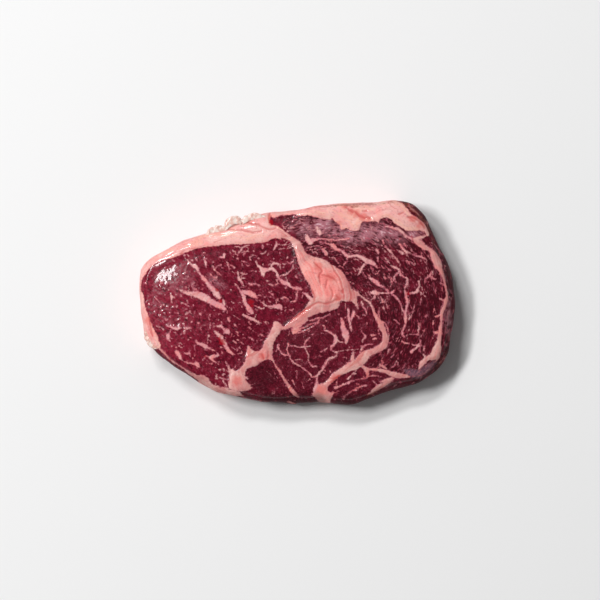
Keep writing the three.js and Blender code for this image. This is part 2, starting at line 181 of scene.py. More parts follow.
# Streaks of fat inside the loin eye, from the left to the right.
LOIN_STREAKS: tuple[Line, ...] = (
    ((185, 257, 0.7), (187.9, 260.7, 0.9), (191.4, 264.6, 1.4), (195.7, 267, 2.4), (198.6, 270.7, 1.6),
     (200.7, 274.3, 1.2), (203.6, 278.2, 2.4), (206.4, 281.8, 2), (210, 286.4, 2.6), (213.6, 290, 3),
     (216.4, 293.6, 3.2), (219.3, 297.9, 2.2)),
    ((180.7, 290.7, 1), (186.4, 292.9, 2), (192, 293.6, 2.5), (196.4, 294.3, 3.8), (200.7, 295.7, 4),
     (205, 297.9, 4), (210, 300.7, 3.6), (215, 303.6, 3.2), (220.7, 306, 3.2), (225, 309.3, 2)),
    ((191.4, 285.7, 0.8), (194.3, 290, 1.2)),
    ((223.6, 299.3, 0.8), (224, 304, 1.5)),
    ((204.3, 257.9, 1.3), (205.7, 263.6, 1.5), (206.4, 267, 1)),
    ((220.7, 257, 1.3), (223.6, 257, 1.8), (225, 254.3, 1.5)),
    ((212.5, 265, 0.8), (214, 269, 0.9), (215.7, 270.7, 1), (217.5, 272.9, 1), (221.4, 275, 0.9)),
    ((216.4, 267.5, 0.8), (219.3, 265.4, 0.8), (222.9, 268.6, 0.8)),
    ((210.7, 274.3, 0.8), (215.7, 278.6, 0.8)),
    ((228.2, 262.9, 1), (228.2, 265.7, 1.2), (229.6, 268.6, 1)),
    ((230.7, 264.6, 0.8), (234.3, 267.5, 1.5)),
    ((241.4, 260.7, 0.8), (246.4, 262.5, 0.8)),
    ((235, 246.4, 0.8), (239.3, 247, 0.9), (241.4, 249.3, 1), (238.6, 252.9, 0.9)),
    ((241.4, 249.3, 0.9), (245, 246.4, 0.9), (249.3, 245.4, 0.7)),
    ((232.9, 250, 0.7), (235.7, 252.9, 0.7)),
    ((242, 252.9, 0.8), (244.3, 251.4, 0.8)),
    ((237.9, 272, 1), (238.6, 275.7, 1.4), (239.3, 279.3, 1.8), (240.7, 280.7, 1.5), (243.6, 285.7, 0.9)),
    ((239.3, 279.3, 0.9), (245, 278.2, 0.9)),
    ((241.4, 273.9, 0.8), (246.4, 274.3, 0.8)),
    ((235, 283.6, 0.9), (237.9, 287, 1.1), (240.7, 291.4, 1.5), (242, 291.5, 2), (246.4, 292.5, 3),
     (250.7, 293.6, 3), (254, 295.5, 2.5), (257, 298, 1)),
    ((242, 293, 2), (244.3, 298.6, 2.2), (246, 304, 2), (249, 309, 3), (252, 312.5, 2)),
    ((249.3, 283.6, 1), (252, 284.6, 1.3), (255.7, 283.9, 1.2), (259.3, 285.7, 1)),
    ((254.3, 305.7, 1), (257.9, 307, 1.2), (261.4, 308.6, 1.1), (264.5, 308, 0.8)),
    ((260, 300.7, 1), (262.9, 302.9, 1), (265, 305.4, 1), (268.6, 306.4, 1), (271.4, 306.4, 1.2),
     (276, 306.5, 2.5), (280, 307, 2.8), (281, 309, 2)),
    ((243.6, 315, 1.5), (250, 317.9, 2), (256.4, 321.4, 1.6), (259.3, 324.3, 1)),
    ((262, 333.6, 0.7), (263.9, 336.8, 0.7)),
    ((254, 320, 1), (256, 315, 1)),
    ((255.7, 261.4, 1), (257.9, 265, 1.2), (260.7, 267.9, 2), (262.9, 270, 3), (267.9, 269.6, 2),
     (270.7, 268.6, 2), (274.3, 270, 1.8), (277, 272.9, 1.6), (277.9, 276.4, 2), (280, 279.3, 1.5)),
    ((262.9, 270, 2.5), (263.2, 274.3, 2), (263.9, 276.4, 0.8)),
    ((271.4, 267.9, 1.2), (272, 264.3, 1.2), (276.4, 263.6, 1.2), (280.7, 265, 0.8)),
    ((280, 275.7, 0.8), (285.7, 274.6, 1.2), (289.3, 272, 1), (293.6, 267.9, 0.6)),
    ((280, 279, 1), (283.6, 282.9, 2.5), (287, 283.2, 2.5), (290.7, 286.4, 1.5), (294.3, 288.2, 1.8),
     (299.3, 288.6, 1.8), (301.8, 289.3, 1.2)),
    ((297.9, 290, 1), (297, 293.6, 1.2), (296.8, 297.9, 1), (295.4, 301.4, 1.2), (290.7, 302, 0.8)),
    ((302.9, 292.9, 1), (305.7, 294.3, 1.6), (309.3, 297.9, 2), (312.9, 300.7, 2.5)),
    ((303.6, 293.6, 0.8), (302, 297.9, 0.8)),
    ((277, 280, 0.9), (277.9, 283.6, 0.9), (275.7, 285, 0.9)),
    ((269.3, 284.3, 0.8), (272.9, 285, 0.8)),
    ((287.9, 262, 0.8), (290.4, 263.6, 0.9), (292, 262, 0.8), (294.3, 261.4, 0.7)),
    ((262.9, 245.7, 1.2), (262.5, 248.6, 1.2)),
    ((261.4, 253.6, 0.8), (264.3, 252.9, 0.8), (266, 251, 0.8)),
    ((276.4, 242, 1), (277, 244.3, 1.3), (275.7, 247, 1.3), (273.6, 250, 1)),
    ((277, 244.3, 0.8), (282, 245, 0.8), (286, 244.3, 0.8), (286.8, 240.7, 0.8)),
    ((280, 248.6, 0.7), (285, 248.6, 0.7)),
    ((268.9, 292, 1), (272.9, 295, 1)),
    ((281.4, 298.9, 1.1), (285, 297, 1.3), (288.6, 299.3, 1.1)),
    ((276.4, 300.7, 0.8), (276.8, 303, 0.8)),
    ((285, 311.4, 0.8), (286, 309.3, 0.8)),
    ((154.3, 297, 0.8), (156.4, 299.3, 0.8), (160, 302.9, 0.8), (161, 306.4, 0.8), (161, 309, 0.8)),
    ((170.7, 294.3, 1.5), (171.8, 297, 1.8), (171.4, 300, 1.2), (171.8, 303.6, 0.9)),
    ((171.8, 297, 1), (175, 297.9, 1)),
    ((181.4, 302, 0.9), (190, 306.8, 0.9)),
    ((187, 300.7, 0.8), (187.9, 302.9, 0.8)),
    ((175.7, 307, 0.8), (177.9, 305.4, 0.8)),
    ((167, 325.7, 1.2), (170.7, 327, 1.5), (175, 328.6, 2), (180, 328.2, 1.5)),
    ((184.3, 328.6, 1), (187, 328.2, 1.4), (190.7, 327.9, 0.8)),
    ((170.7, 330, 1), (169.3, 333.6, 1), (167.9, 337, 2.6), (170.7, 342, 0.5)),
    ((185, 330.7, 0.8), (183.6, 334.3, 0.8)),
    ((156.4, 326.4, 0.8), (160.7, 327, 0.8), (163.6, 330, 0.8)),
    ((195.7, 340.7, 1), (197.9, 343.6, 1.8), (201.4, 344.3, 2.2), (205, 346.4, 2.3), (210, 348.6, 1.2),
     (213.6, 350.4, 0.8), (216.4, 352, 0.7), (218.2, 355, 1.6), (214, 356.5, 2.2), (211, 358, 2),
     (213.6, 361.4, 1.2), (218.6, 364.6, 0.6)),
    ((210.7, 357.9, 1), (207, 356.4, 1), (204.3, 357.9, 1), (202.9, 360.4, 1)),
    ((176.5, 352, 2), (178, 354, 2.6), (180, 358, 1.8), (181.4, 360, 0.7), (185, 362, 1), (189.3, 363.2, 1.2),
     (193.6, 363.9, 1), (197, 364.3, 2.6), (198.6, 367, 1.2)),
    ((184.3, 353.6, 1), (188.6, 353.6, 1.5), (189.6, 350.7, 1)),
    ((189.5, 353.5, 1), (190.4, 356.4, 0.8)),
    ((215, 332, 1.2), (218.6, 335, 2.2), (221.4, 337.9, 2.4), (223.6, 342, 2.4), (226.4, 347, 2.4),
     (228.6, 350.7, 2.2), (231.4, 352.9, 1.6), (235, 355, 0.8)),
    ((217.9, 326.4, 1.2), (221.4, 326.4, 1.8), (223.6, 329.3, 1.5), (227, 331.4, 3), (228.6, 333.6, 1.2)),
    ((208.6, 335, 0.8), (207.9, 339.3, 0.8), (207.5, 343.6, 0.8)),
    ((233.6, 315.7, 0.8), (240, 319.6, 0.8)),
    ((228.6, 318.6, 1.5), (229.3, 321.4, 1.5)),
    ((225.7, 361.4, 0.7), (227.9, 365, 1.2), (230, 368.6, 1.5)),
    ((220, 377.9, 0.7), (227.9, 380, 0.7)),
    ((222.9, 380.7, 0.9), (226.4, 385.7, 0.9)),
    ((240.7, 342, 0.7), (244.3, 345, 0.7)),
    ((233.6, 340.7, 1), (236.4, 342.9, 1)),
    ((249.3, 337, 1), (253.6, 340.7, 1)),
    ((252, 329.3, 0.9), (253.6, 331.4, 0.9)),
    ((257, 340.7, 0.8), (258.6, 343.2, 0.8)),
    ((248.6, 321.4, 1), (249.6, 323.6, 1)),
    ((194.3, 345.7, 0.8), (195, 350, 0.8)),
    ((231.4, 347, 0.8), (235, 349.3, 0.8)),
)

# Single dots of fat in the loin eye.
LOIN_DOTS: tuple[Bend, ...] = (
    (204.3, 252.9, 1.2), (184.3, 255.4, 1.2), (237.5, 258.9, 1.3), (148.6, 304.3, 1.2), (163.6, 305, 1),
    (227, 306.4, 1), (233.6, 302.9, 1), (190, 311.8, 1.5), (200.7, 314.3, 1.3), (178.2, 313.2, 1.3),
    (165, 313.2, 1), (183.9, 323.9, 1.2), (192, 322, 1.2), (198.9, 323.2, 1.4), (205, 325.7, 1),
    (213.6, 323.6, 1), (214.3, 326.4, 0.9), (218.6, 314.3, 0.9), (223.6, 311.4, 1), (186.4, 318.6, 1.2),
    (170.7, 317, 0.9), (235, 325, 1.3), (220, 370, 1.2), (222.9, 375, 1.2), (215.7, 377, 0.9),
    (215.4, 383.6, 0.9), (179.3, 346.4, 1), (188.6, 340, 0.9), (190.7, 337.9, 0.9), (237.9, 332, 0.8),
    (242.9, 334.3, 0.8), (242.9, 337.9, 0.8), (239.3, 360, 1), (238.6, 353.6, 0.8), (235, 367, 0.8),
    (295, 257, 0.8), (287.5, 257.5, 1), (273.9, 258.6, 0.8), (255.7, 271.4, 0.9),
)

# Streaks inside the cap, which curves round the right and the top.
CAP_STREAKS: tuple[Line, ...] = (
    ((307, 235.7, 2), (307.9, 240, 3), (310.7, 242, 3), (313.6, 240, 2.5), (320, 238.6, 1.4),
     (325, 239.3, 1), (330.7, 239.6, 1.2), (336.4, 240, 1.2), (343.6, 239.3, 1.5), (348.6, 238.6, 1.5)),
    ((322, 242.9, 0.8), (327, 243.6, 1), (332, 244.6, 1.8), (334.3, 247, 2.5), (337, 249.3, 1.8),
     (341.4, 250.4, 1.6), (344.3, 252.9, 2), (346.4, 255.7, 2.2), (350, 256.4, 1.8), (354.3, 255.4, 1.5),
     (359.3, 256.4, 2), (363.6, 258.6, 2.4), (367, 261.4, 3), (371.4, 262.9, 2.6), (375, 265, 1.8),
     (377, 268, 0.8)),
    ((346.4, 256, 1), (347, 259.3, 1)),
    ((364.3, 264.3, 1.3), (362, 268.6, 1.4), (360, 272, 1.4), (357.9, 275.7, 0.8)),
    ((322.9, 249.3, 1.5), (325, 252, 2.2), (326.4, 254.3, 2)),
    ((316.4, 245.7, 0.8), (322, 246.8, 0.8)),
    ((310.7, 249.3, 0.6), (313.5, 252.9, 0.6)),
    ((315, 251.4, 0.7), (317.9, 254.3, 0.7)),
    ((333.6, 257, 0.7), (337, 262, 0.7), (340, 265.7, 0.7)),
    ((343.6, 265, 0.8), (346.4, 262, 0.8)),
    ((317, 228, 2), (320, 233, 2.5)),
    ((288.6, 228, 1), (292, 227.5, 1.4), (295, 227.5, 0.8)),
    ((282.9, 225.7, 0.9), (287.9, 231.4, 0.9)),
    ((293.6, 215.4, 0.8), (296.4, 217, 0.8)),
    ((299.3, 220.7, 0.7), (305.7, 223.6, 0.7)),
    ((385, 226.4, 1.2), (390.7, 227, 1.6), (395.2, 228.6, 1.8), (399.3, 230, 1.8), (403.6, 233.6, 1.6),
     (407, 236.4, 1.6), (411.4, 238.6, 1.8), (415, 240, 1.5)),
    ((382.9, 240.7, 1.6), (384.3, 244.3, 0.9), (387.9, 249.3, 1.1), (390.7, 252, 1.7), (393.6, 255.7, 0.9),
     (397, 259.3, 1), (399.3, 262.9, 1), (400.7, 267, 0.7)),
    ((399.3, 244.3, 1), (402.9, 248.6, 1.3), (405.7, 251.4, 1.5), (410.7, 253.2, 0.9), (415.7, 256, 1),
     (420.7, 257, 1.4), (424.3, 258.6, 1), (427, 261.4, 0.8)),
    ((404.3, 244.3, 1.2), (406.4, 247, 1.2)),
    ((400, 251.4, 1.5), (402.9, 253.6, 1.5)),
    ((376.4, 249.3, 1.5), (377.9, 252.9, 1.8)),
    ((377.9, 257, 1.2), (377.9, 261.4, 1.2)),
    ((385.7, 258.6, 1), (387.9, 262, 1)),
    ((391.4, 265.7, 1), (395, 267.5, 1.2), (398.6, 269.6, 1.3), (400, 271.4, 1.2), (400.7, 275, 1.2),
     (403.6, 277, 1), (407, 278.2, 1.2), (407.9, 281.4, 1.2), (406.8, 285, 1.2), (405, 287.9, 1),
     (405, 290.7, 1), (405.7, 295, 1.5), (407, 300, 1.8), (407.3, 304.3, 1.7), (406.2, 310, 1.6),
     (405.4, 314.3, 1.8), (405.7, 320, 1.8), (405.4, 324.3, 1.5), (403.9, 328.6, 1.3), (402.5, 332, 1.4),
     (402.9, 335, 1.3), (404.3, 336.4, 1.5)),
    ((399.3, 271.4, 1.3), (396.4, 275, 1.2), (393.9, 277.9, 1), (393.6, 280.7, 0.9), (390.7, 282, 0.8)),
    ((392, 282, 0.7), (391.4, 286.4, 0.7)),
    ((410.7, 262, 1), (414.3, 265, 1)),
    ((409.3, 260.7, 0.8), (409, 264, 0.8)),
    ((369.3, 277.9, 1.2), (372.9, 280, 2.2), (375.7, 282, 2.5), (379.3, 285, 1.8), (383.6, 286.8, 1),
     (387, 290, 1), (389.3, 292.9, 1.5)),
    ((371.4, 292.9, 1.5), (375, 292.9, 2.8), (377.9, 293.6, 2)),
    ((374.3, 295.7, 1.2), (374.3, 298.6, 1.2)),
    ((379, 293, 1), (387.9, 293.2, 1), (391.4, 292.9, 1.6), (394.3, 290.7, 1)),
    ((391.4, 293.6, 1), (395, 296.4, 1.3), (397.9, 299.3, 1.5), (400.7, 303.6, 1.2), (402, 308.6, 1),
     (404.3, 313.6, 1)),
    ((418.6, 281.4, 1.2), (419.6, 285, 1.2), (418.6, 288.6, 1.3), (417, 290.7, 1.8), (414.3, 292.9, 1.8),
     (409.3, 293.6, 1.2)),
    ((417, 290.7, 1), (420.7, 292, 0.8), (422.9, 295, 0.8), (425.7, 296.4, 1)),
    ((431, 272, 1.2), (430, 275.7, 1.2), (427, 277.9, 1.1), (425.7, 279.3, 0.8)),
    ((430.7, 275.7, 1), (432.9, 278.6, 1), (436.4, 279.3, 0.8)),
    ((383.6, 274.3, 1), (384.3, 277, 1), (386, 278.6, 1)),
    ((375.7, 274.3, 0.7), (379.3, 270.7, 0.7)),
    ((382, 299.3, 0.9), (382.9, 302, 0.9), (385, 302.5, 0.9)),
    ((380.7, 303, 0.9), (381, 303.4, 0.9)),
    ((382.9, 307, 0.6), (386.4, 313.6, 0.6)),
    ((425, 281.4, 0.6), (427.9, 287.9, 0.6)),
    ((393.6, 319.3, 0.8), (396.4, 321.4, 1.2), (399.3, 324.3, 0.8)),
    ((404.3, 335, 0.7), (409.3, 334.3, 0.6), (417.9, 334.3, 0.7)),
    ((417.9, 321.4, 0.7), (418.2, 325.7, 0.9), (418.9, 328.6, 1.4), (418.2, 331.4, 1), (418.6, 335.7, 0.7)),
    ((408.6, 319.3, 1.2), (410.7, 317, 1), (412, 313.6, 0.8), (414.3, 310.7, 0.8)),
    ((402, 341.4, 0.9), (405, 342.9, 1), (409.3, 343.6, 0.9)),
    ((412, 344.3, 0.8), (415.7, 345.4, 1), (420, 343.6, 1.2), (420.7, 340, 1)),
    ((419.5, 344.5, 1.2), (418.6, 346.8, 1.3), (414.3, 349.3, 1.5), (411.4, 352, 1.8)),
    ((427, 315, 1), (426, 316.5, 1)),
    ((424.3, 346.4, 1), (424.3, 350, 1)),
    ((423.6, 355, 1.2), (425, 357, 1.5)),
    ((433.6, 320.7, 1), (433.2, 324.3, 1)),
    ((398.2, 362, 0.8), (397.9, 365, 0.8)),
    ((392, 367.9, 0.7), (393.6, 365.7, 0.7)),
    ((382, 360.7, 0.8), (383, 362.9, 0.8)),
    ((408.5, 206, 0.7), (412.5, 209.5, 1.3), (417, 213, 1.2), (420, 216, 0.6)),
)

# Streaks inside the small muscles at the bottom, between the loin eye and the cap.
INNER_STREAKS: tuple[Line, ...] = (
    ((342, 319.3, 1.8), (342.9, 324.3, 2.5), (343.6, 328.6, 3.2), (345.7, 333.6, 4), (346.4, 338.6, 2.6),
     (346, 343.6, 1.2)),
    ((348.6, 309.3, 1.8), (348.6, 314.3, 1.5), (349.3, 320, 1.5), (350.4, 325, 1.3), (351.3, 330.7, 0.8)),
    ((353.9, 312, 2), (353.2, 315.7, 1.8), (351, 320, 1.2)),
    ((355, 310.7, 0.8), (355.7, 314.3, 0.8), (358.6, 317, 0.8), (359.3, 320, 0.7)),
    ((361.4, 301.4, 1), (362.9, 305.7, 1.2), (365.7, 310.7, 1.1), (366.6, 314, 0.8)),
    ((362.5, 315, 0.7), (365.7, 315.7, 0.7)),
    ((361.4, 330.7, 1), (363.6, 333.9, 1), (365.7, 336.4, 1.5), (363.6, 339.3, 1.2), (362.5, 342, 1)),
    ((372, 335.4, 1.5), (375.7, 335, 0.8)),
    ((372.9, 339.3, 1.2), (376.4, 338.6, 1.2)),
    ((362, 346.4, 1.5), (361.4, 350, 1.2), (359.8, 353, 0.8)),
    ((362.9, 347, 1.3), (366.4, 345, 1), (372.9, 344.3, 0.8)),
    ((350.7, 350, 0.6), (359.3, 349.3, 0.6)),
    ((366.8, 323.4, 0.9), (367.2, 323.8, 0.9)),
    ((278.2, 344.6, 1.6), (278.2, 347, 1.8), (280, 350.7, 0.9), (282, 353.6, 0.9), (284.3, 355, 1),
     (287.9, 355.4, 0.9)),
    ((288.2, 343.6, 0.8), (288.6, 345.7, 1), (287, 348.6, 0.9), (287.7, 352, 0.9), (289.3, 356.4, 1),
     (291.4, 360, 1), (295, 363.6, 1.1), (299.3, 366, 1), (303.6, 368.6, 1), (307, 371.4, 1.1),
     (310, 373.9, 1.1), (312, 376.8, 1.1), (315, 377, 1.1), (317, 375.7, 1.2)),
    ((288.2, 346.4, 0.8), (292.9, 345.7, 1), (297, 346.8, 0.8), (299.3, 347.5, 1.1), (304.3, 346.8, 1),
     (310.7, 346.4, 0.6)),
    ((304.3, 346, 0.8), (305, 342.5, 0.9), (307, 340, 0.9), (310, 337.5, 0.8)),
    ((305.4, 348.2, 0.8), (307, 352, 0.8), (308.6, 355, 1.1), (308.2, 360, 0.7), (310, 363.6, 1),
     (312.9, 366.4, 1.4), (317, 366.4, 0.8)),
    ((295, 360, 0.5), (300, 359.3, 0.5), (303.6, 361.8, 0.5)),
    ((323.6, 325.7, 1.2), (325, 327.9, 1), (324.3, 330.4, 0.9), (328.6, 331.4, 1.2), (332, 333.9, 1.3),
     (335.4, 336.4, 1.8), (335.7, 340, 2.2), (334.3, 344.3, 1.6), (331.8, 346.4, 1.4), (330.7, 349, 1.2),
     (332, 350.7, 1), (336.4, 352, 0.9), (337.5, 353.6, 1), (335.7, 356.4, 1), (331.4, 357.9, 1.4),
     (327.9, 360, 1.7), (325.7, 363.6, 1.6), (323.6, 367, 1.6), (320.7, 371.4, 1.3), (318.6, 374.3, 1.5),
     (317, 376.4, 1.5), (316.8, 381.4, 1.7), (316.4, 385.7, 2.3), (315.7, 390, 3)),
    ((327.9, 347.9, 0.8), (325, 350, 0.8), (319.3, 352.5, 0.7)),
    ((335, 341, 1), (338.6, 341.4, 1), (342, 342.5, 1)),
    ((336, 352, 0.6), (345, 350.4, 0.6), (349.3, 349.3, 0.6)),
    ((296.4, 329.3, 0.8), (302.9, 327.9, 0.8), (307, 326.4, 0.8), (310.7, 324, 0.8), (317.9, 322.5, 0.8)),
    ((298.6, 332.9, 0.9), (303.6, 331.4, 0.9), (309.3, 328.6, 0.9), (313.6, 325.4, 0.9),
     (317.9, 322.9, 0.9)),
    ((310, 320.7, 0.9), (314.3, 319.6, 0.9), (317, 318.2, 0.9), (323.6, 317.5, 0.9), (327, 315.4, 0.9),
     (330, 314.3, 0.9)),
    ((297, 372, 0.6), (296.8, 377.9, 0.8)),
    ((292.5, 380.7, 1.2), (293.9, 383.6, 1.2)),
    ((301.8, 382, 0.6), (303.6, 388.6, 0.6)),
    ((246.6, 377.6, 1.5), (247.4, 378.4, 1.5)),
    ((267, 371.4, 0.5), (275, 379, 0.5)),
    ((273.6, 371.4, 0.5), (277.9, 378.6, 0.5)),
    ((335, 387.9, 1.6), (339.3, 387, 1.3), (343.6, 385, 1.3), (349.3, 383.2, 1.5)),
    ((349.3, 382, 1.2), (353.6, 380.7, 0.8), (359.3, 379.3, 0.8), (363.6, 378.6, 0.7)),
    ((347.9, 379.3, 1.2), (350, 377, 1), (352.9, 373.6, 0.8), (356.4, 370.7, 0.7)),
    ((337, 381.4, 1), (336.4, 385, 1)),
    ((343.6, 398.6, 1.6), (345.7, 395.7, 1.2), (349.3, 392.9, 1), (352.9, 390.7, 1), (355.7, 390, 1.8)),
    ((357, 388.6, 1), (361.4, 386.8, 1), (366.4, 385.7, 1.4)),
    ((374.6, 382, 1), (377, 385, 1)),
    ((345, 303, 0.5), (346, 309, 0.5)),
    ((331, 394, 0.5), (336, 392.5, 0.6), (341, 391, 0.4)),
)

# Red creases and veins in the broad fat.
CREASES: tuple[Line, ...] = (
    ((224, 230, 0.3), (231, 229.3, 0.5), (240, 230, 0.5), (248, 231.5, 0.7), (255, 232.5, 0.7),
     (262, 231, 0.4)),
    ((245, 222.5, 0.5), (252, 223.5, 0.8), (257, 224.5, 0.8), (262, 226.5, 0.7), (266, 228.5, 0.7),
     (271, 229.5, 0.6), (276, 228, 0.3)),
    ((269, 213, 1), (269, 217, 1.4), (270, 221, 1.3), (271, 224, 1)),
    ((148.5, 312, 0.3), (149, 318, 0.7), (150, 325, 0.8), (151, 331, 0.8), (152.5, 337, 0.5)),
    ((314, 262, 0.4), (318, 266, 0.5), (322, 271, 0.7), (319.5, 275, 0.9), (319.5, 280, 0.8),
     (320.5, 285, 0.4)),
    ((322, 275, 0.5), (326, 276, 0.7), (330, 277, 0.8), (334, 279, 0.8), (337, 282.5, 0.5)),
    ((327, 280, 0.5), (326.5, 284, 0.7), (325.5, 288, 0.4)),
    ((290, 321.5, 0.5), (296, 317, 0.8), (302, 312.5, 0.9), (307, 308.5, 1), (311, 306.3, 1.1),
     (315, 303.5, 1), (320, 302.5, 0.7), (326, 303.5, 0.7), (332, 301.8, 0.7), (336, 299.8, 0.8),
     (340, 299, 0.8)),
    ((337, 296, 0.6), (338.7, 298, 1)),
    ((342, 291, 0.9), (343, 293, 0.7)),
    ((312, 290, 0.5), (314.5, 296, 0.7), (314, 302, 0.5)),
    ((330, 287, 0.4), (333, 294, 0.6), (331, 300, 0.4)),
    ((262, 354, 0.8), (264, 358.5, 0.7)),
    ((268.5, 352, 0.3), (268.5, 356, 0.6), (267.5, 360, 0.5)),
    ((331, 382, 0.6), (336, 378, 0.9), (341, 375, 0.5)),
    ((352, 210, 0.6), (356, 212.5, 0.9), (359, 215, 1.1), (361.5, 216.5, 1.2), (365, 218, 0.9),
     (368, 217.3, 0.8), (371, 219, 0.5)),
    ((346, 207.5, 0.6), (350, 210, 1), (353, 212.5, 0.7)),
    ((363, 211, 0.5), (367, 211, 0.5)),
    ((398.5, 214, 0.6), (401, 213.5, 0.7), (403.5, 212.3, 0.4)),
    ((408, 217, 0.8), (412, 217.5, 1), (417, 219.5, 0.9), (421, 223, 0.8), (424, 228, 0.6)),
    ((288.5, 334, 0.6), (288.2, 338, 0.6), (288.8, 343, 0.5)),
)

# Where the edge of the upper face has dried brown; the brown is darker where the rim turns from the light, as
# painted shade.
DRIED_EDGE_AND_RIM_SHADE: tuple[Line, ...] = (
    ((392, 199.5, 0.8), (400, 201, 1.4), (407, 205, 1.8), (413, 209.5, 2.2), (419, 215.5, 2.2),
     (425, 222, 1.8), (430, 231, 1.8), (435, 242, 1.4)),
    ((300, 208.5, 0.5), (312, 206.8, 1), (322, 205.5, 1.4), (332, 205.3, 1.6), (342, 204.7, 1.6),
     (352, 204.5, 3), (365, 204, 2.6), (378, 202.8, 2.6), (392, 201, 2.2)),
    ((446, 352, 1), (444, 358, 1.6), (440, 364, 1.6), (436, 369, 1.2), (430, 374, 1)),
    ((382, 388, 1), (375, 392, 1.2), (367, 396, 1)),
)

# Fresh blood: middle and radius in pixels.
BLOOD_SPOTS: tuple[Bend, ...] = (
    (250.5, 302, 3), (252, 306, 1.5), (222.3, 342, 3), (219.5, 338.5, 1.8), (220.5, 301.5, 1.6),
    (216.5, 290.5, 1.2), (408.5, 293.5, 1), (205.5, 356.8, 1), (271, 222, 1.8),
)

# Where the fat is flushed red round its veins: middle and radius in pixels.
FLUSHED_FAT: tuple[Bend, ...] = (
    (351, 211, 4), (357, 214, 4), (363, 217, 4.5), (368, 220, 3),
    (413, 219, 3.5), (420, 225, 3), (338, 225, 4), (345, 206, 3), (318, 266, 4), (330, 277, 4),
    (338, 297, 4), (303, 312, 4), (272, 222, 3), (149, 321, 5), (262, 356, 3), (336, 378, 3),
    (322, 391, 6), (237, 381, 6), (246, 353, 4),
)

# Muscle with few flecks of fat: middle and radius in pixels.
QUIET_SPOTS: tuple[Bend, ...] = (
    (388, 330, 14), (425, 306, 16), (421, 328, 18), (405, 352, 14), (392, 310, 12), (300, 352, 14),
    (262, 378, 16), (320, 342, 12), (425, 345, 12), (355, 330, 10),
)

# Muscle that is darker than the rest, and painted shade along the bottom rim near it: middle and radius in
# pixels.
DARK_MUSCLE_AND_RIM_SHADE: tuple[Bend, ...] = (
    (262, 378, 15), (282, 402, 9), (300, 401, 9), (318, 402, 8), (345, 400, 9), (270, 400, 8),
)

# The middle of the broad kernel of fat, which is redder than the seams that leave it.
KERNEL_HEART: tuple[Bend, ...] = ((326, 284, 14), (312, 270, 7))

# Bluish silverskin, and a painted sheen of reflected light over the wet muscle: middle, radius and strength.
SHEEN_AND_SILVERSKIN_SPOTS: tuple[tuple[float, float, float, float], ...] = (
    (306, 228, 11, 0.75), (322, 225, 11, 0.95), (336, 231, 10, 0.8), (350, 236, 10, 0.8),
    (365, 233, 10, 1), (380, 232, 10, 0.9), (394, 235, 9, 0.85), (403, 238, 7, 0.5),
    (291, 228, 6, 0.5), (412, 233, 6, 0.9), (420, 232.5, 4, 0.7),
    (214, 281, 7, 0.55), (222, 286, 6, 0.35), (188, 277, 7, 0.4), (194, 285, 6, 0.35), (178, 288, 7, 0.3),
    (448, 304, 4, 0.6), (448, 314, 5, 0.9), (449, 322, 5, 0.8), (449, 332, 4, 0.6), (387, 382, 5, 0.6),
)

# The bluish silverskin that shows at the lower right.
SILVERSKIN: Outline = (
    (404.3, 370), (410, 369.3), (418.6, 370), (424.3, 367), (430, 363.6), (433.6, 360.7), (437, 363),
    (431.5, 369.6), (426.5, 373.9), (420, 377.4), (412, 377.8), (406.4, 374),
)

# Corners of the line that parts the loin eye from the rest, and of the one round the inner muscles.
LOIN_BORDER: Outline = (
    (283, 180), (283, 238), (300, 270), (312, 296), (298, 315), (272, 330), (262, 350), (240, 370),
    (235, 430), (100, 430), (100, 180),
)
INNER_BORDER: Outline = (
    (298, 315), (340, 302), (358, 296), (372, 308), (382, 325), (385, 340), (372, 352), (362, 363),
    (380, 371), (412, 378), (420, 420), (235, 430), (240, 370), (262, 350), (272, 330),
)


class Muscle(Enum):
    """The muscles that the cut goes through."""

    LOIN = 0
    CAP = 1
    INNER = 2


def to_linear(code: str) -> tuple[float, float, float, float]:
    """Turns an sRGB hex colour into Blender's linear one.

    Args:
        code: six hex digits.

    Returns:
        Red, green, blue and alpha.
    """
    parts = [int(code[i : i + 2], 16) / 255 for i in (0, 2, 4)]
    red, green, blue = [p / 12.92 if p <= 0.04045 else ((p + 0.055) / 1.055) ** 2.4 for p in parts]
    return red, green, blue, 1.0


def add_node(
    tree: Tree,
    kind: str,
    inputs: dict[str | int, object] | None = None,
    out: str | int = 0,
    **settings: object,
) -> Socket | None:
    """Adds a node with its settings and links.

    Args:
        tree: the node tree.
        kind: the node's type.
        inputs: a value or an output socket for each input, by its name or number.
        out: which output is wanted, by its name or number.
        settings: the node's own properties.

    Returns:
        The output; None for a node that has none.
    """
    node = tree.nodes.new(kind)
    for name, value in settings.items():
        setattr(node, name, value)
    for key, value in (inputs or {}).items():
        if isinstance(value, Socket):
            tree.links.new(value, node.inputs[key])
        else:
            node.inputs[key].default_value = value
    return node.outputs[out] if node.outputs else None


def new_material(name: str) -> bpy.types.Material:
    """Makes a material with an empty node tree.

    Args:
        name: the material's name.

    Returns:
        The material.
    """
    material = bpy.data.materials.new(name)
    material.use_nodes = True
    material.node_tree.nodes.clear()
    return material


def new_object(name: str, data: bpy.types.Mesh | bpy.types.Light | bpy.types.Camera) -> bpy.types.Object:
    """Adds an object to the scene.

    Args:
        name: the object's name.
        data: its mesh, light or camera.

    Returns:
        The object.
    """
    made = bpy.data.objects.new(name, data)
    bpy.context.collection.objects.link(made)
    return made


def shell_object(name: str, shell: bmesh.types.BMesh) -> bpy.types.Object:
    """Turns a shell into a mesh object, and frees the shell.

    Args:
        name: the name of the mesh and the object.
        shell: the finished shell.

    Returns:
        The object.
    """
    mesh = bpy.data.meshes.new(name)
    shell.to_mesh(mesh)
    shell.free()
    return new_object(name, mesh)


def read_vectors(items: bpy.types.bpy_prop_collection, name: str) -> np.ndarray:
    """Reads one vector from each vertex or face of a mesh.

    Args:
        items: the vertices or the faces.
        name: the vector's name.

    Returns:
        The vectors, one in each row.
    """
    values = np.empty(len(items) * 3, dtype=np.float32)
    items.foreach_get(name, values)
    return values.reshape(-1, 3).astype(float)


